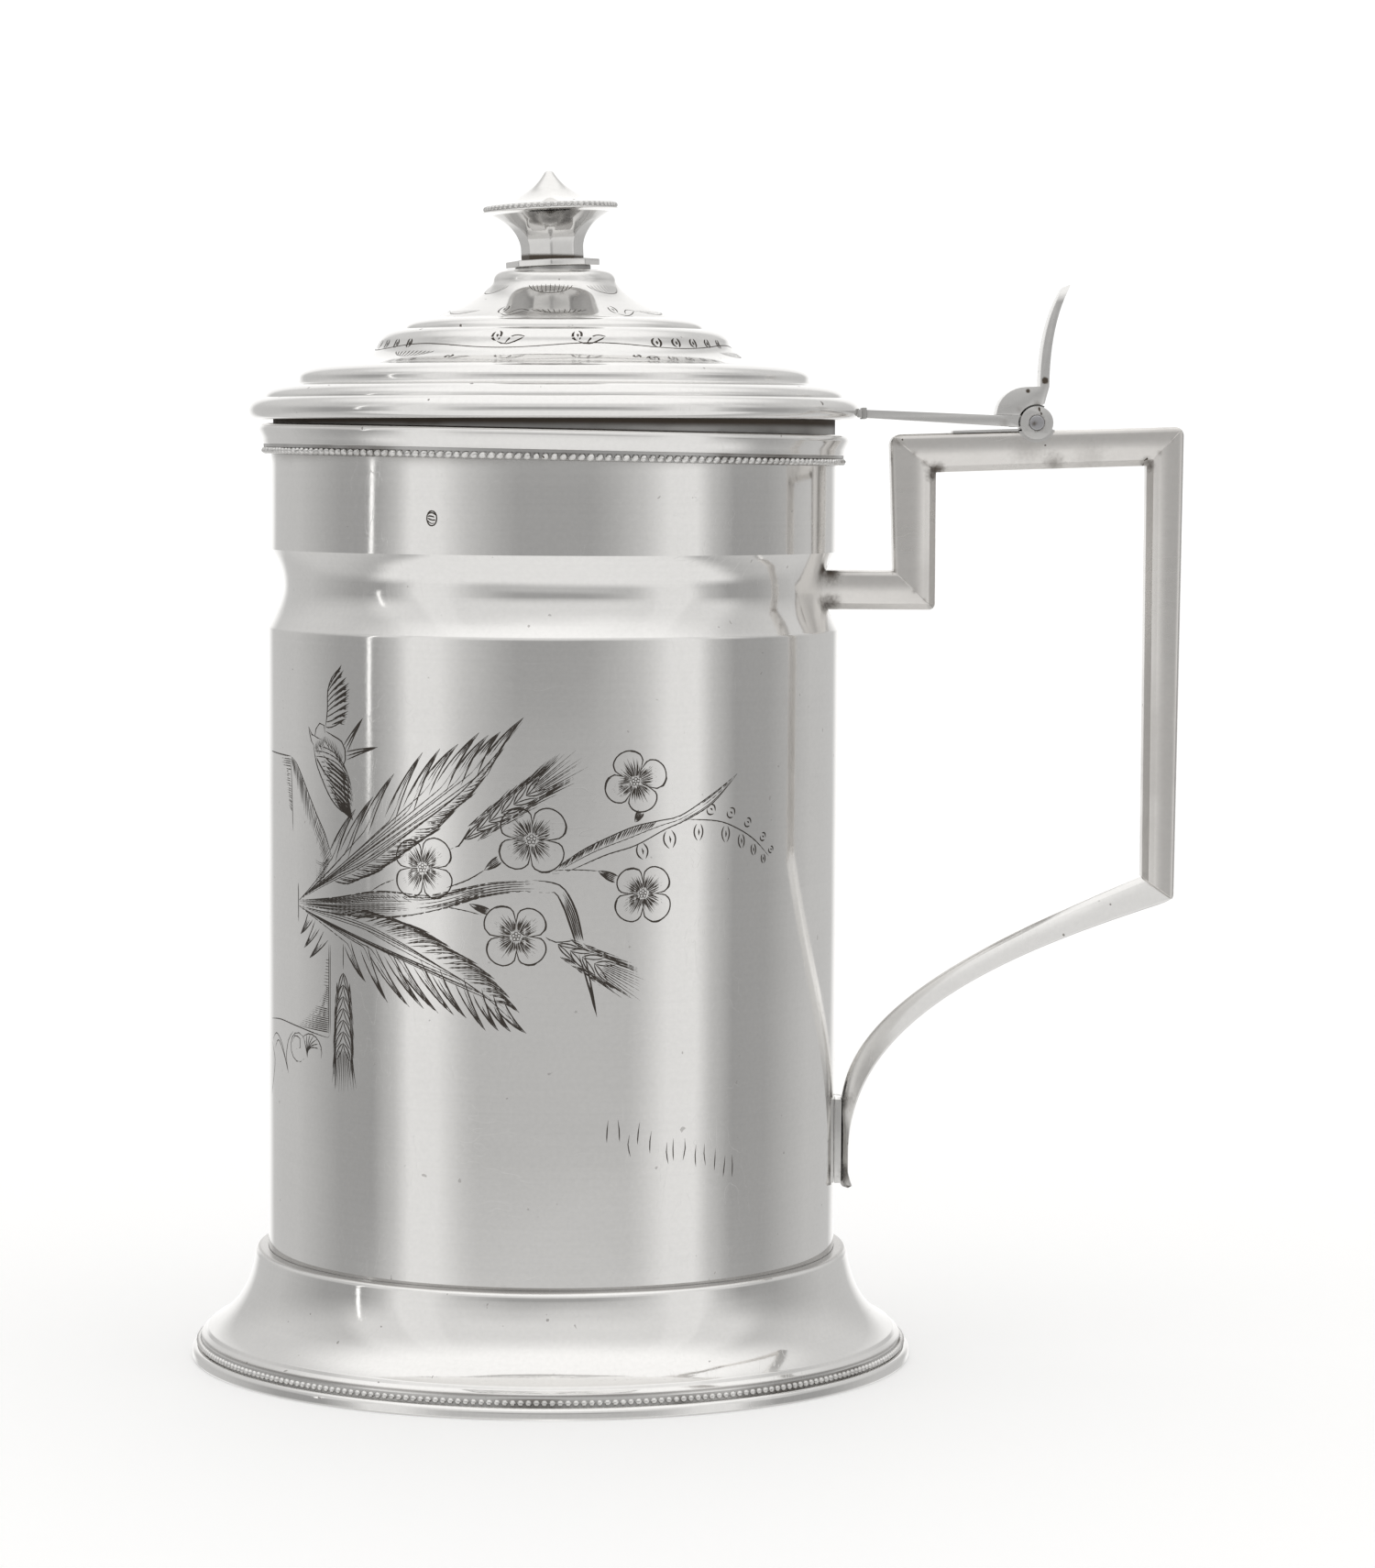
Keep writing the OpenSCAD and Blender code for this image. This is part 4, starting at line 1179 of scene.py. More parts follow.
def ear(tool, base, tip, half, awn, pairs, dark):
    """An ear of wheat: pairs of grains with long awns, more of them where it is dark."""
    way, length = heading(base, tip)
    grain = length / pairs * 1.5
    for i in range(pairs):
        t = (i + 0.3) / pairs
        fat = half * (0.55 + 0.9 * t * (1.35 - t))
        for side in (1, -1):
            root = beside(base, way, length * t, 0)
            out = beside(root, way, grain, side * fat * 0.8)
            belly = beside(root, way, grain * 0.35, side * fat * 0.8)
            inner = beside(root, way, grain * 0.6, side * fat * 0.15)
            tool.cut(bend(root, belly, out, 6), 1.0)
            tool.cut(bend(root, inner, out, 6), 0.8)
            for k in range(3 + 3 * dark):
                spread = side * (0.13 + tool.around(0.09))
                first = beside(out, way, -0.25 * k, side * 0.07 * k)
                reach = awn * tool.hand.uniform(0.3, 0.75) * (0.45 + 0.55 * t)
                tool.cut([first, beside(first, way, reach * 0.5, spread * reach * 0.5),
                          beside(first, way, reach, spread * reach)], 0.8, "end")
    for k in range(9):
        spread = (k - 4) * 0.035 + tool.around(0.03)
        reach = awn * tool.hand.uniform(0.7, 1.1)
        start = beside(tip, way, 0, half * 0.12 * (k - 4))
        tool.cut([start, beside(start, way, reach, spread * reach)], 0.65, "end")


def bud(tool, root, tip, wide):
    """A small pointed calyx with lines along it."""
    way, length = heading(root, tip)
    edges = [bend(root, beside(root, way, length * 0.6, wide * s), beside(tip, way, 0, wide * s * 0.6), 6)
             for s in (1, -1)]
    for edge in edges:
        tool.cut(edge, 1.0)
    tool.between(edges[0], edges[1], 5, 0.1, 0.95, 0.85, 0.2)


def pod(tool, x, y, high, wide, turn=0.0):
    """Two facing arcs with a drop between them."""
    c, s = math.cos(turn), math.sin(turn)

    def at(a, b):
        return (x + a * c - b * s, y + a * s + b * c)
    for side in (1, -1):
        tool.cut(bend(at(side * wide * 0.25, high / 2), at(side * wide * 0.95, 0),
                      at(side * wide * 0.15, -high / 2), 8), 1.1)
    tool.cut([at(0, high * 0.22), at(wide * 0.08, 0), at(0, -high * 0.2)], 1.4)


def swallow(tool):
    """A swallow with spread wings and a forked tail, heading up and to the left."""
    upper = [(-41, 107.8), (-40.5, 110.8), (-40.4, 114), (-39.3, 116.2), (-37.4, 117.8)]
    fringe = [(-37, 106), (-36.2, 107), (-36.4, 109), (-35.5, 111), (-35.6, 113), (-35.4, 114.6),
              (-36.4, 116), (-37.4, 117.8)]
    tool.cut(upper, 1.0)
    for i in range(11):
        t = (i + 0.5) / 11
        a, b = along(upper, t * 0.7), along(fringe, min(1, t + 0.25))
        tip = (b[0] + 0.5, b[1] + 0.5)
        tool.cut(bend(a, (a[0] + 1.2, b[1] - 1.6), tip, 8), 0.9)
        for k in range(3):
            inner = along([a, b], 0.35 + 0.2 * k)
            tool.cut([inner, (tip[0] - 0.15 * k, tip[1] - 0.5 * k)], 1.25 - 0.2 * k)
    lower = [(-44.4, 105.2), (-43.6, 102.3), (-42.2, 100), (-39.5, 96.5), (-36.8, 94.6), (-34.6, 93.8)]
    trail = [(-37, 102), (-35.9, 101), (-34.9, 99.3), (-34.6, 97), (-35, 95.2), (-34.6, 93.8)]
    tool.cut(lower, 1.1)
    for i in range(12):
        t = (i + 0.4) / 12
        a, b = along(lower, t * 0.7), along(trail, min(1, t + 0.25))
        tip = (b[0] + 0.45, b[1] - 0.55)
        tool.cut(bend(a, (b[0] - 1.4, a[1] + 0.4), tip, 8), 0.9)
        for k in range(3):
            inner = along([a, b], 0.3 + 0.22 * k)
            tool.cut([inner, (tip[0] - 0.25 * k, tip[1] + 0.35 * k)], 1.2 - 0.2 * k)
    head = [(-42.2, 106), (-44, 106.4), (-43.7, 107.6), (-42.6, 108.6), (-41.3, 108.3), (-41.1, 107)]
    tool.cut(head, 1.0)
    tool.cut([(-44, 106.4), (-44.9, 106.6), (-45.9, 107.9)], 1.3)
    tool.cut([(-45.9, 107.9), (-45, 105.6), (-44.3, 104.9)], 1.0)
    back = [(-41, 107.4), (-38.8, 106.7), (-36.8, 105.9), (-36, 104.6), (-35.9, 103), (-36.8, 101.4)]
    tool.cut(back, 1.1)
    for k in range(22):
        t = k / 21
        a = along([(-43.5, 105.6), (-41, 106.6), (-38.4, 105.6), (-36.6, 103.6)], t)
        drop = tool.hand.uniform(1.4, 2.6)
        tool.cut([a, (a[0] - 0.3, a[1] - drop * 0.5), (a[0] + 0.35, a[1] - drop)], 0.85)
    for k in range(16):
        a = along([(-43.4, 103), (-41.6, 101.2), (-39, 99.4), (-37, 98.6)], k / 15)
        tool.cut([a, (a[0] + 0.5, a[1] - 0.9)], 1.3)
    for tip, root in (((-32, 109.9), (-36, 104.7)), ((-28.9, 105.3), (-35.8, 103.6))):
        blade(tool, root, tip, 1.3, 0.2, 3)
        tool.cut([root, tip], 1.0)


def shield(tool):
    """The edge of a panel at the side, with close hatching, and the scroll under it."""
    rim = [(-52.4, 102.7), (-50.2, 101.8), (-47.6, 99.1), (-43.6, 93.9), (-41, 90.5), (-39.3, 87)]
    tool.cut([(-64, 102.9), (-58, 102.8), (-52.4, 102.7)], 1.1)
    tool.cut(rim, 1.0)
    inner = [(-52.3, 102.4), (-51.8, 96.4), (-51.4, 90.3)]
    tool.cut(inner, 0.9)
    tool.rungs(rim, [(-52, 102.4), (-51, 99), (-48, 94), (-45.4, 91), (-43, 88), (-42, 85)], 44,
               0.03, 0.03, 1.0, 1.05, 0.95)
    tool.rungs(inner, [(-60, 102.6), (-55, 97), (-52.4, 92.6)], 22, 0.02, 0.0, 0.75, 0.9, 0.7)
    for k in range(12):
        t = k / 11
        a = (-39.6 - 1.8 * t, 86.6 - 3.4 * t)
        tool.cut([a, (a[0] - 2.2, a[1] - 0.9), (a[0] - 4.2 + 2 * t, a[1] - 0.4)], 0.7, "end")
    tool.cut([(-49.4, 82), (-49.3, 79), (-49.3, 75.6)], 1.1)
    for side in (0, 0.35):
        tool.cut([(-40 + side, 72.6), (-40 + side, 66), (-40 + side, 57.9)], 0.7)
    tool.cut([(-39.7, 57.9), (-40.2, 57.3), (-44.5, 57.7), (-49.5, 58.2), (-57, 58.6), (-64, 58)], 0.9)
    for k in range(24):
        y = 65.4 - 7.2 * k / 23
        reach = 0.8 + 8.6 * (k / 23) ** 1.5
        tool.cut([(-40.1, y), (-40.1 - reach * 0.5, y + 0.1), (-40.1 - reach, y + 0.25)], 0.85, "end")
    for k in range(9):
        y = 70 - 4.2 * k / 8
        tool.cut([(-40.1, y), (-40.9 - 0.08 * k, y + 0.05)], 0.6, "end")
    ring = [(-49.4 + 2.9 * math.cos(0.5 * k), 54.8 + 2.4 * math.sin(0.5 * k)) for k in range(1, 12)]
    tool.cut(ring, 0.9)
    tool.cut([(-51.7, 55.4), (-50.8, 56.6), (-48.8, 56.3), (-48.7, 54.8), (-50.2, 54.4)], 0.9)
    tool.cut([(-53.4, 50), (-54.4, 52.6), (-53.4, 55.6), (-51.4, 57.2)], 0.9)
    tool.cut([(-53.4, 50), (-55.6, 53), (-58.6, 55), (-60.8, 53.4)], 0.9)
    tool.cut([(-53.4, 50), (-56.6, 54.6), (-60, 56), (-63, 54.4)], 0.9)
    tool.cut([(-63.4, 54.2), (-61, 51.4), (-62.4, 47.6), (-63.6, 45.6), (-62, 45.4)], 0.9)
    for k in range(7):
        swing = math.radians(10 + 20 * k)
        tip = (-45.4 + 3.4 * math.cos(swing), 54.6 + 2.8 * math.sin(swing))
        tool.cut(bend((-46.3, 53.4), (-46.6, 56 - 0.2 * k), tip, 6), 0.85)
    fan = [(-45.4 + 3.4 * math.cos(math.radians(a)), 54.6 + 2.8 * math.sin(math.radians(a)))
           for a in range(-20, 160, 20)]
    tool.cut(fan, 0.9)


def drum_engraving(tool):
    """Flowers, ears of wheat and long leaves that spring from one point."""
    swallow(tool)
    shield(tool)
    origin = (-49.2, 79.2)
    frond(tool, origin,
          [(-39.3, 86.7), (-36.2, 87.6), (-31.7, 91.6), (-26.5, 93.6), (-23, 95.3), (-20, 98.6),
           (-17, 99.3), (-14.5, 100.2), (-11.8, 101.8), (-10.2, 101.8)],
          [(-33.6, 95.1), (-29.8, 97.3), (-25.6, 101.2), (-20.3, 104.8), (-17.2, 105.5),
           (-14.1, 106.3), (-10.6, 108.2), (-9.1, 107.8), (-7.1, 108.4), (-3.4, 110.7)],
          [origin, (-38.6, 83.6), (-30.2, 87.2), (-19.6, 94), (-13.3, 98.9), (-7.3, 105.4), (-3.6, 110)],
          [(-7.1, 105.4), (-9.9, 101.2), (-11.8, 98.3), (-15.1, 95.5), (-17.7, 92.5), (-20.3, 90.9),
           (-24.3, 88.1), (-28.3, 85.6), (-33, 83.8)], 2.1, 0.9)
    frond(tool, (-49.2, 78.2),
          [(-35.4, 73.1), (-31.7, 72.7), (-30.1, 72.5), (-26.8, 72.1), (-25, 71.4), (-21.2, 70.7),
           (-17.9, 69.6), (-13.8, 68.3), (-10.8, 66.7), (-8.9, 65.8), (-7.1, 64.7)],
          [(-31.3, 67.1), (-26.8, 64.1), (-22.6, 63.6), (-20, 63.5), (-17.4, 62.9), (-14.7, 62.7),
           (-12.6, 62.3), (-9.4, 60.4), (-7.3, 60.4), (-5.3, 60.3), (-2.8, 60.1)],
          [(-49.2, 78.2), (-37.6, 77.2), (-30.2, 75.8), (-22.9, 73.2), (-16.3, 70), (-10.1, 66.4),
           (-3.4, 60.6)],
          [(-4.6, 63.6), (-6.2, 65.9), (-8.6, 68.8), (-11.4, 71.1), (-16, 73.6), (-19.6, 75.8),
           (-23.3, 76.8), (-27.9, 77.9)], 1.7, -0.7)
    for root, tip in (((-45.2, 77), (-48.6, 73.6)), ((-43.2, 75.6), (-47.4, 71.4)),
                      ((-40.8, 74), (-45.6, 69.9))):
        blade(tool, root, tip, 1.8, 0.5)
    over = resampled([(-49, 79.2), (-38.6, 80.4), (-30.2, 81.9), (-25.7, 82.1), (-19.6, 81.8),
                      (-14.5, 82.9), (-8.4, 84.2), (-1.7, 84.7)], 1.5)
    under = resampled([(-49, 78.2), (-38.6, 77.8), (-30.2, 77.7), (-23.6, 78.3), (-16, 80),
                       (-9.6, 82), (-4.2, 82.8), (0.5, 82.7)], 1.5)
    tool.cut(over, 0.9)
    tool.cut(under, 1.0)
    tool.cut([(a, b + 0.5) for a, b in under[-14:-1]], 0.6)
    tool.between(over, under, 15, 0.0, 0.55, 0.75, 0.3)
    tool.between(over, under, 9, 0.45, 0.85, 0.7, 0.3)
    tool.rungs(over, under, 34, 0.1, 0.16, 0.62, 0.6, 0.55)
    tool.between(over[-13:], under[-13:], 5, 0.0, 0.95, 0.85, 0.4)
    outer = resampled([(-1.7, 84.7), (1.5, 84.3), (3.3, 83.2), (5.1, 79.9), (6.3, 75)], 1.0)
    inner = resampled([(0.5, 82.7), (1.6, 82.8), (2.2, 82.2), (3.5, 79.3), (5, 74.7)], 1.0)
    tool.cut(outer, 1.1)
    tool.cut(inner, 1.0)
    tool.between(outer, inner, 6, 0.3, 1.0, 0.9, 0.12)
    for x, y, size, turn in ((-20.3, 86.2, 5.4, 47), (-2.1, 91.2, 5.8, 42), (14.7, 100.4, 5.1, 22),
                             (16, 82.4, 4.95, 45), (-4.5, 75.6, 5.5, 46)):
        flower(tool, x, y, size, turn)
    ear(tool, (-13.6, 90.6), (-1.6, 99.2), 1.7, 8.5, 6, 2)
    tool.cut([(-15.4, 89.4), (-14, 90), (-12, 93)], 1.2)
    ear(tool, (1.6, 74.8), (9.4, 70.6), 2.1, 8.0, 4, 2)
    tool.cut([(0.2, 75.6), (1.9, 74.8), (4.8, 75.1)], 0.9)
    blade(tool, (6, 72.9), (8.5, 62.7), 0.9, 0.2, 3)
    ear(tool, (-36.4, 68.8), (-36.4, 55.4), 2.3, 7.5, 7, 1)
    tool.cut([(-36.4, 73), (-36.4, 71), (-36.4, 68.8)], 0.7)
    tool.cut([(-30.2, 82), (-28, 83.2), (-25.6, 84.1)], 0.8)
    tool.cut([(-16, 83.2), (-12.4, 84.6), (-9.7, 86.2)], 1.0)
    bud(tool, (-9.7, 86.2), (-7.2, 88), 0.9)
    bud(tool, (14.6, 93.9), (15.6, 95.6), 0.8)
    tool.cut([(1.5, 86.3), (5, 86.4), (8.6, 86.2)], 0.7)
    bud(tool, (8.6, 86.2), (11.6, 84.8), 0.9)
    tool.cut([(-16, 80.1), (-12.8, 79.6), (-10.2, 79)], 0.8)
    bud(tool, (-12.2, 80.7), (-8.9, 79.5), 0.7)
    upper = resampled([(1.2, 86.2), (5.8, 89.4), (10.3, 91.6), (14.7, 93.3), (18.8, 94.1), (22.4, 94.8),
                       (27.7, 97.7), (33.4, 101.2)], 1.0)
    lower = resampled([(1.2, 85.7), (3.8, 86.2), (9.7, 88.7), (14.7, 90.2), (19.6, 92.6), (23.5, 94.1),
                       (28.5, 96.7), (33.4, 101.2)], 1.0)
    vein = [((a + c) / 2, (b + d) / 2) for (a, b), (c, d) in zip(upper, lower)]
    tool.cut(upper, 0.9)
    tool.cut(lower, 0.9)
    tool.cut(vein[:26], 0.6)
    tool.rungs(upper[1:], vein[1:], 38, -0.05, 0.04, 0.52, 1.15, 1.0)
    tool.between(upper, lower, 3, 0.62, 0.97, 0.6, 0.2)
    spray = resampled([(23.1, 94.2), (29.5, 93.7), (33.6, 92.3), (37.3, 90.3), (40.8, 87.4)], 1.0)
    tool.cut(spray, 0.9)
    for x, y, high, wide, turn in (
            (15.9, 89.2, 2.6, 1.6, 0.25), (20.6, 91, 2.9, 1.8, 0.15), (25.8, 92, 2.7, 1.4, 0),
            (31.1, 91.5, 2.6, 1.3, 0), (34.4, 90.2, 2.3, 1.1, 0.1), (37.1, 88.7, 1.9, 0.9, 0.1),
            (39.4, 87.1, 1.5, 0.8, 0.1), (28.2, 95.6, 1.6, 1.5, 0.9), (32.2, 94.9, 1.5, 1.5, 0.8),
            (35.8, 93.2, 1.3, 1.3, 0.9), (39.3, 90.7, 1.2, 1.2, 0.9), (41.3, 88.5, 1.0, 1.0, 0.7)):
        pod(tool, x, y, high, wide, turn)
    for k in range(13):
        x = 10.5 + 24.5 * ((k * 5) % 13) / 13 + tool.around(0.6)
        y = 44.6 - 0.35 * (x - 10) + tool.around(1.6)
        tool.cut([(x, y + 1.6), (x + tool.around(0.25), y), (x + tool.around(0.4), y - 2)], 0.75)


def lid_engraving(tool, length_at):
    """A vine with buds, fans and pods round the ogee and the bell; x is in degrees."""
    def fan(x, y, wide, high):
        bowl = bend((x - wide, y + 0.45 * high), (x, y - 0.5 * high), (x + wide, y + 0.45 * high), 12)
        tool.cut(bowl, 0.7)
        for k in range(11):
            share = (k + 0.5) / 11
            a, b = along(bowl, share)
            lean = 0.35 * wide * math.cos(math.radians(155 - 130 * share))
            rise = high * (0.35 + 0.6 * math.sin(math.pi * share))
            tool.cut([(a, b), (a + 0.6 * lean, b + 0.5 * rise), (a + lean, b + rise)], 0.6, "both", 0.4)

    def tulip(x, y, size):
        pod(tool, x, y, size * 0.55, size * 0.75, 0.2)
        tool.cut([(x, y - size * 0.3), (x + size, y - size * 0.45),
                  (x + size * 2.6, y - size * 0.1)], 0.8)
        tool.cut(bend((x + size * 0.8, y - size * 0.45), (x + size * 1.5, y + size * 0.3),
                      (x + size * 3, y - size * 0.15), 8), 0.8)

    vine_y, bud_y, pod_y, low_y = [length_at(z) for z in (11.9, 13.4, 12.3, 10.1)]
    for turn in (0, 120, 240):
        fan(turn - 47, low_y + 0.4, 7.5, 2.0)
        tulip(turn - 17, bud_y, 3.4)
        tulip(turn + 9, bud_y, 3.4)
        for k in range(5):
            pod(tool, turn + 36 + 8 * k, pod_y, 1.7, 3.0 - 0.3 * k)
        tulip(turn - 30, low_y, 2.4)
        tulip(turn + 26, low_y, 2.4)
    vine = [(a, vine_y + 0.5 * math.sin(math.radians(a * 6))) for a in range(-66, 300, 6)]
    tool.cut(vine, 0.7, "even", 1.2)
    bell_y, top_y = length_at(17.4), length_at(20.9)
    for turn in range(0, 360, 60):
        fan(turn + 4, bell_y, 12, 1.6)
        tulip(turn - 26, bell_y + 1.4, 5)
    for turn in (-62, -2, 50, 110, 170, 230):
        fan(turn, top_y, 16, 2.5)


def make_engraving():
    tool = Graver(17)
    drum_engraving(tool)
    wall = [(DRUM_R, 0), (DRUM_R, DRUM_TOP)]
    cut_lines("drum_cut_lines", tool.lines, wall, DRUM_R, AT_REST, VESSEL)
    tool = Graver(5)
    oval = [(-19 + 0.85 * math.cos(0.4 * k), 142.2 + 1.15 * math.sin(0.4 * k)) for k in range(17)]
    tool.cut(oval, 1.0, "even", 0.3)
    tool.between(oval[:8], oval[15:7:-1], 4, 0.1, 0.95, 0.9, 0.2)
    wall = [(NECK_R, 0), (NECK_R, DRUM_TOP)]
    cut_lines("neck_oval", tool.lines, wall, DRUM_R, AT_REST, VESSEL)
    tool = Graver(23)
    tool.wide *= 1.2
    side = lid_side()
    lengths = [0.0]
    for (r0, z0), (r1, z1) in zip(side, side[1:]):
        lengths.append(lengths[-1] + math.hypot(r1 - r0, z1 - z0))

    def length_at(height):
        return next(s for s, (_, z) in zip(lengths, side) if z >= height)
    lid_engraving(tool, length_at)
    lines = [([(math.radians(a) * LID_ARC, b) for a, b in points], width, taper)
             for points, width, taper in tool.lines]
    cut_lines("lid_cut_lines", lines, side, LID_ARC, AT_LID, LID)


# ---- stage ----
def make_camera(lens):
    data = bpy.data.cameras.new("Camera")
    data.sensor_width = 36
    data.lens = lens
    camera = linked("Camera", data)
    tilt = Matrix.Rotation(math.radians(90 - CAMERA_DOWN), 4, "X")
    roll = Matrix.Rotation(math.radians(CAMERA_ROLL), 4, "Z")
    camera.matrix_world = Matrix.Translation(CAMERA_PLACE) @ tilt @ roll
    bpy.context.scene.camera = camera


def make_floor(glow):
    """A wide floor of white paper, which the metal doesn't mirror."""
    mesh = bpy.data.meshes.new("floor")
    mesh.from_pydata([(-8, -8, 0), (8, -8, 0), (8, 8, 0), (-8, 8, 0)], [], [(0, 1, 2, 3)])
    paper = bpy.data.materials.new("White paper")
    paper.use_nodes = True
    shader = paper.node_tree.nodes["Principled BSDF"]
    shader.inputs["Base Color"].default_value = (0.9, 0.9, 0.9, 1)
    shader.inputs["Roughness"].default_value = 0.9
    shader.inputs["Emission Color"].default_value = (1, 1, 1, 1)
    shader.inputs["Emission Strength"].default_value = glow
    mesh.materials.append(paper)
    floor = linked("floor", mesh)
    floor.visible_glossy = False


def make_tent(strength):
    """A light tent whose brightness changes round it and up it, as the metal mirrors it."""
    world = bpy.data.worlds.new("Light tent")
    bpy.context.scene.world = world
    world.use_nodes = True
    world.node_tree.nodes.clear()
    bench = Bench(world.node_tree)
    x, y, z = bench.apart(bench.out("ShaderNodeTexCoord"))
    # The side counts from the front and the height from the level, both in degrees.
    turned_x = x * math.cos(TENT_FRONT) + y * math.sin(TENT_FRONT)
    turned_y = y * math.cos(TENT_FRONT) - x * math.sin(TENT_FRONT)
    side = turned_y.turn_from(turned_x) * (180 / math.pi)
    height = z.asin() * (180 / math.pi)
    # The walls, from the front (0) to the back (1), the same on both sides.
    walls = bench.out("ShaderNodeValToRGB", {"stops": [
        (0.0, 0.2), (0.08, 0.2), (0.13, 0.24), (0.2, 0.32), (0.26, 0.44), (0.33, 0.45), (0.37, 0.3),
        (0.43, 0.19), (0.53, 0.2), (0.62, 0.26), (0.7, 0.3), (0.86, 0.3), (0.91, 0.5), (1.0, 0.62)]},
        {0: abs(side) / 180})
    walls = walls * 2
    # A narrow bright strip at one side.
    strip = (1 - abs(side + 78.5).between(0.4, 1.3)) * (1 - height.between(18.0, 28.0))
    walls = walls + strip * height.between(-8.0, -1.5) * 1.2
    # The table in front, then the walls' pale upper part, the roof and the table close by.
    table = (1 - height.between(-10.0, -1.0)) * (1 - abs(side).between(46.0, 78.0))
    walls = walls + (walls.most(0.57) - walls) * table
    ahead = 1 - abs(side).between(76.0, 92.0) * 0.75
    light = walls + (walls.most(0.82) - walls) * height.between(3.0, 26.0) * (0.4 + 0.6 * ahead)
    light = light + (1.15 - light) * height.between(34.0, 62.0)
    light = light + (0.92 - light) * (1 - height.between(-27.0, -13.0)) * ahead
    glow = bench.add("ShaderNodeBackground", None, {
        "Color": (1.0, 0.995, 0.985, 1), "Strength": light * strength})
    plain = bench.add("ShaderNodeBackground", None, {"Color": (1, 1, 1, 1), "Strength": 1.1})
    seen = bench.add("ShaderNodeLightPath")
    both = bench.add("ShaderNodeMixShader", None, {
        0: seen.outputs["Is Camera Ray"], 1: glow.outputs[0], 2: plain.outputs[0]})
    bench.add("ShaderNodeOutputWorld", None, {0: both.outputs[0]})


def make_stage():
    look = bpy.context.scene.tankard_stage
    make_camera(look.lens)
    make_floor(look.floor_glow)
    make_tent(look.tent)
    bpy.context.scene.view_settings.view_transform = "Standard"


# ---- the add-on ----
class TankardFinish(bpy.types.PropertyGroup):
    pewter: FloatVectorProperty(
        name="Pewter", description="Colour of the polished metal", subtype="COLOR",
        default=(0.82, 0.812, 0.8), min=0, max=1)
    inner: FloatVectorProperty(
        name="Inside", description="Colour of the dull metal inside", subtype="COLOR",
        default=(0.55, 0.53, 0.5), min=0, max=1)
    cut: FloatVectorProperty(
        name="Cut lines", description="Colour in the cut lines", subtype="COLOR",
        default=(0.08, 0.07, 0.062), min=0, max=1)
    roughness: FloatProperty(
        name="Satin", description="How satin the polish is", subtype="FACTOR", default=0.1,
        min=0.02, max=0.8)


class TankardBeads(bpy.types.PropertyGroup):
    mouth_beads: IntProperty(
        name="Mouth beads", description="Beads round the mouth", default=212, min=60, max=400)
    foot_beads: IntProperty(
        name="Foot beads", description="Beads round the foot", default=298, min=60, max=500)
    finial_beads: IntProperty(
        name="Finial beads", description="Beads round the finial", default=60, min=16, max=120)


class TankardCutting(bpy.types.PropertyGroup):
    line_width: FloatProperty(
        name="Line width", description="Width of a plain cut line, in millimetres", default=0.15,
        min=0.05, max=1)


class TankardStage(bpy.types.PropertyGroup):
    lens: FloatProperty(
        name="Lens", description="Focal length in millimetres", default=110.39, min=20, max=300)
    tent: FloatProperty(
        name="Tent light", description="Strength of the light tent", default=1.0, min=0, max=5)
    floor_glow: FloatProperty(
        name="Floor glow", description="Light that the floor adds of its own", default=0.17, min=0,
        max=1)


class TANKARD_OT_stage(bpy.types.Operator):
    """Set up the floor, the light tent and the camera"""
    bl_idname = "tankard.stage"
    bl_label = "Stage"
    bl_options = {"REGISTER", "UNDO"}

    def execute(self, context):
        make_stage()
        return {"FINISHED"}


class TANKARD_OT_hidden(bpy.types.Operator):
    """Give the plain inner parts their finish"""
    bl_idname = "tankard.hidden"
    bl_label = "Inner parts"
    bl_options = {"REGISTER", "UNDO"}

    def execute(self, context):
        make_hidden()
        return {"FINISHED"}


class TANKARD_OT_drum(bpy.types.Operator):
    """Turn the drum"""
    bl_idname = "tankard.drum"
    bl_label = "Drum"
    bl_options = {"REGISTER", "UNDO"}

    def execute(self, context):
        make_drum()
        return {"FINISHED"}


class TANKARD_OT_foot(bpy.types.Operator):
    """Turn the foot and its ring"""
    bl_idname = "tankard.foot"
    bl_label = "Foot"
    bl_options = {"REGISTER", "UNDO"}

    def execute(self, context):
        make_foot()
        return {"FINISHED"}


class TANKARD_OT_mouth(bpy.types.Operator):
    """Turn the mouth band"""
    bl_idname = "tankard.mouth"
    bl_label = "Mouth"
    bl_options = {"REGISTER", "UNDO"}

    def execute(self, context):
        make_mouth()
        return {"FINISHED"}


class TANKARD_OT_lid(bpy.types.Operator):
    """Turn the stepped lid and its rolled edge"""
    bl_idname = "tankard.lid"
    bl_label = "Lid"
    bl_options = {"REGISTER", "UNDO"}

    def execute(self, context):
        make_lid()
        return {"FINISHED"}


class TANKARD_OT_beads(bpy.types.Operator):
    """Set the beads on the foot, the mouth and the finial"""
    bl_idname = "tankard.beads"
    bl_label = "Beads"
    bl_options = {"REGISTER", "UNDO"}

    def execute(self, context):
        make_beads()
        return {"FINISHED"}


class TANKARD_OT_finial(bpy.types.Operator):
    """Make the finial"""
    bl_idname = "tankard.finial"
    bl_label = "Finial"
    bl_options = {"REGISTER", "UNDO"}

    def execute(self, context):
        make_finial()
        return {"FINISHED"}


class TANKARD_OT_handle(bpy.types.Operator):
    """Make the handle"""
    bl_idname = "tankard.handle"
    bl_label = "Handle"
    bl_options = {"REGISTER", "UNDO"}

    def execute(self, context):
        make_handle()
        return {"FINISHED"}


class TANKARD_OT_hinge(bpy.types.Operator):
    """Make the hinge, the lid's arm and the thumb lever"""
    bl_idname = "tankard.hinge"
    bl_label = "Hinge and lever"
    bl_options = {"REGISTER", "UNDO"}

    def execute(self, context):
        make_hinge()
        return {"FINISHED"}


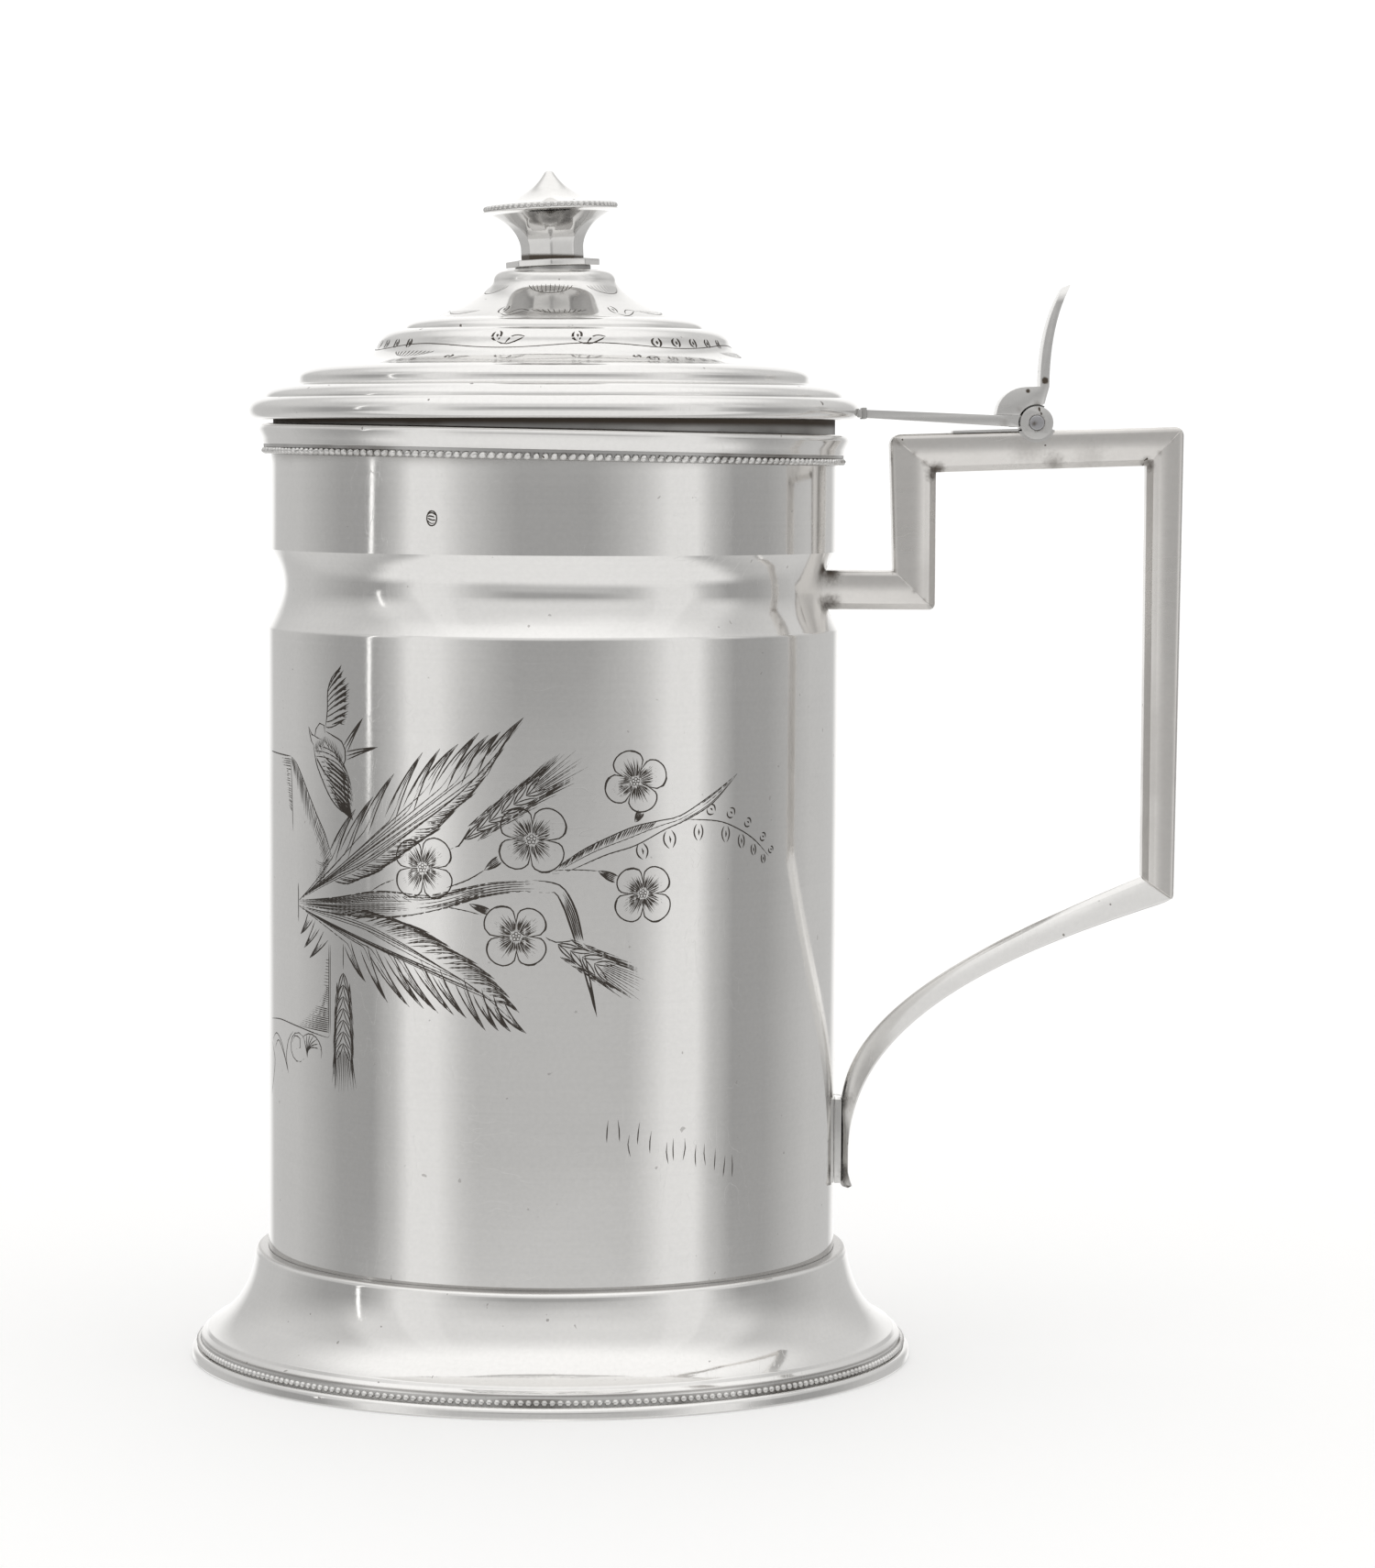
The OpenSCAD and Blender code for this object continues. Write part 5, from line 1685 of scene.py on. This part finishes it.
class TANKARD_OT_engraving(bpy.types.Operator):
    """Cut the flowers, ears and leaves"""
    bl_idname = "tankard.engraving"
    bl_label = "Engraving"
    bl_options = {"REGISTER", "UNDO"}

    def execute(self, context):
        make_engraving()
        return {"FINISHED"}


OPERATORS = (TANKARD_OT_stage, TANKARD_OT_hidden, TANKARD_OT_drum, TANKARD_OT_foot,
             TANKARD_OT_mouth, TANKARD_OT_lid, TANKARD_OT_beads, TANKARD_OT_finial,
             TANKARD_OT_handle, TANKARD_OT_hinge, TANKARD_OT_engraving)
GROUPS = (TankardFinish, TankardBeads, TankardCutting, TankardStage)


class TANKARD_PT_panel(bpy.types.Panel):
    """Sizes, colours and makers of the tankard"""
    bl_label = "Pewter tankard"
    bl_idname = "TANKARD_PT_panel"
    bl_space_type = "VIEW_3D"
    bl_region_type = "UI"
    bl_category = "Tankard"

    def draw(self, context):
        scene = context.scene
        for group in (scene.tankard_finish, scene.tankard_beads, scene.tankard_cutting,
                      scene.tankard_stage):
            column = self.layout.column()
            for key in group.bl_rna.properties.keys():
                if key not in ("rna_type", "name"):
                    column.prop(group, key)
        for operator in OPERATORS:
            self.layout.operator(operator.bl_idname)


def register():
    for item in GROUPS + OPERATORS + (TANKARD_PT_panel,):
        bpy.utils.register_class(item)
    bpy.types.Scene.tankard_finish = PointerProperty(type=TankardFinish)
    bpy.types.Scene.tankard_beads = PointerProperty(type=TankardBeads)
    bpy.types.Scene.tankard_cutting = PointerProperty(type=TankardCutting)
    bpy.types.Scene.tankard_stage = PointerProperty(type=TankardStage)


def unregister():
    del bpy.types.Scene.tankard_stage
    del bpy.types.Scene.tankard_cutting
    del bpy.types.Scene.tankard_beads
    del bpy.types.Scene.tankard_finish
    for item in reversed(GROUPS + OPERATORS + (TANKARD_PT_panel,)):
        bpy.utils.unregister_class(item)


def main():
    register()
    for operator in OPERATORS:
        group, action = operator.bl_idname.split(".")
        getattr(getattr(bpy.ops, group), action)()


if __name__ == "__main__":
    main()
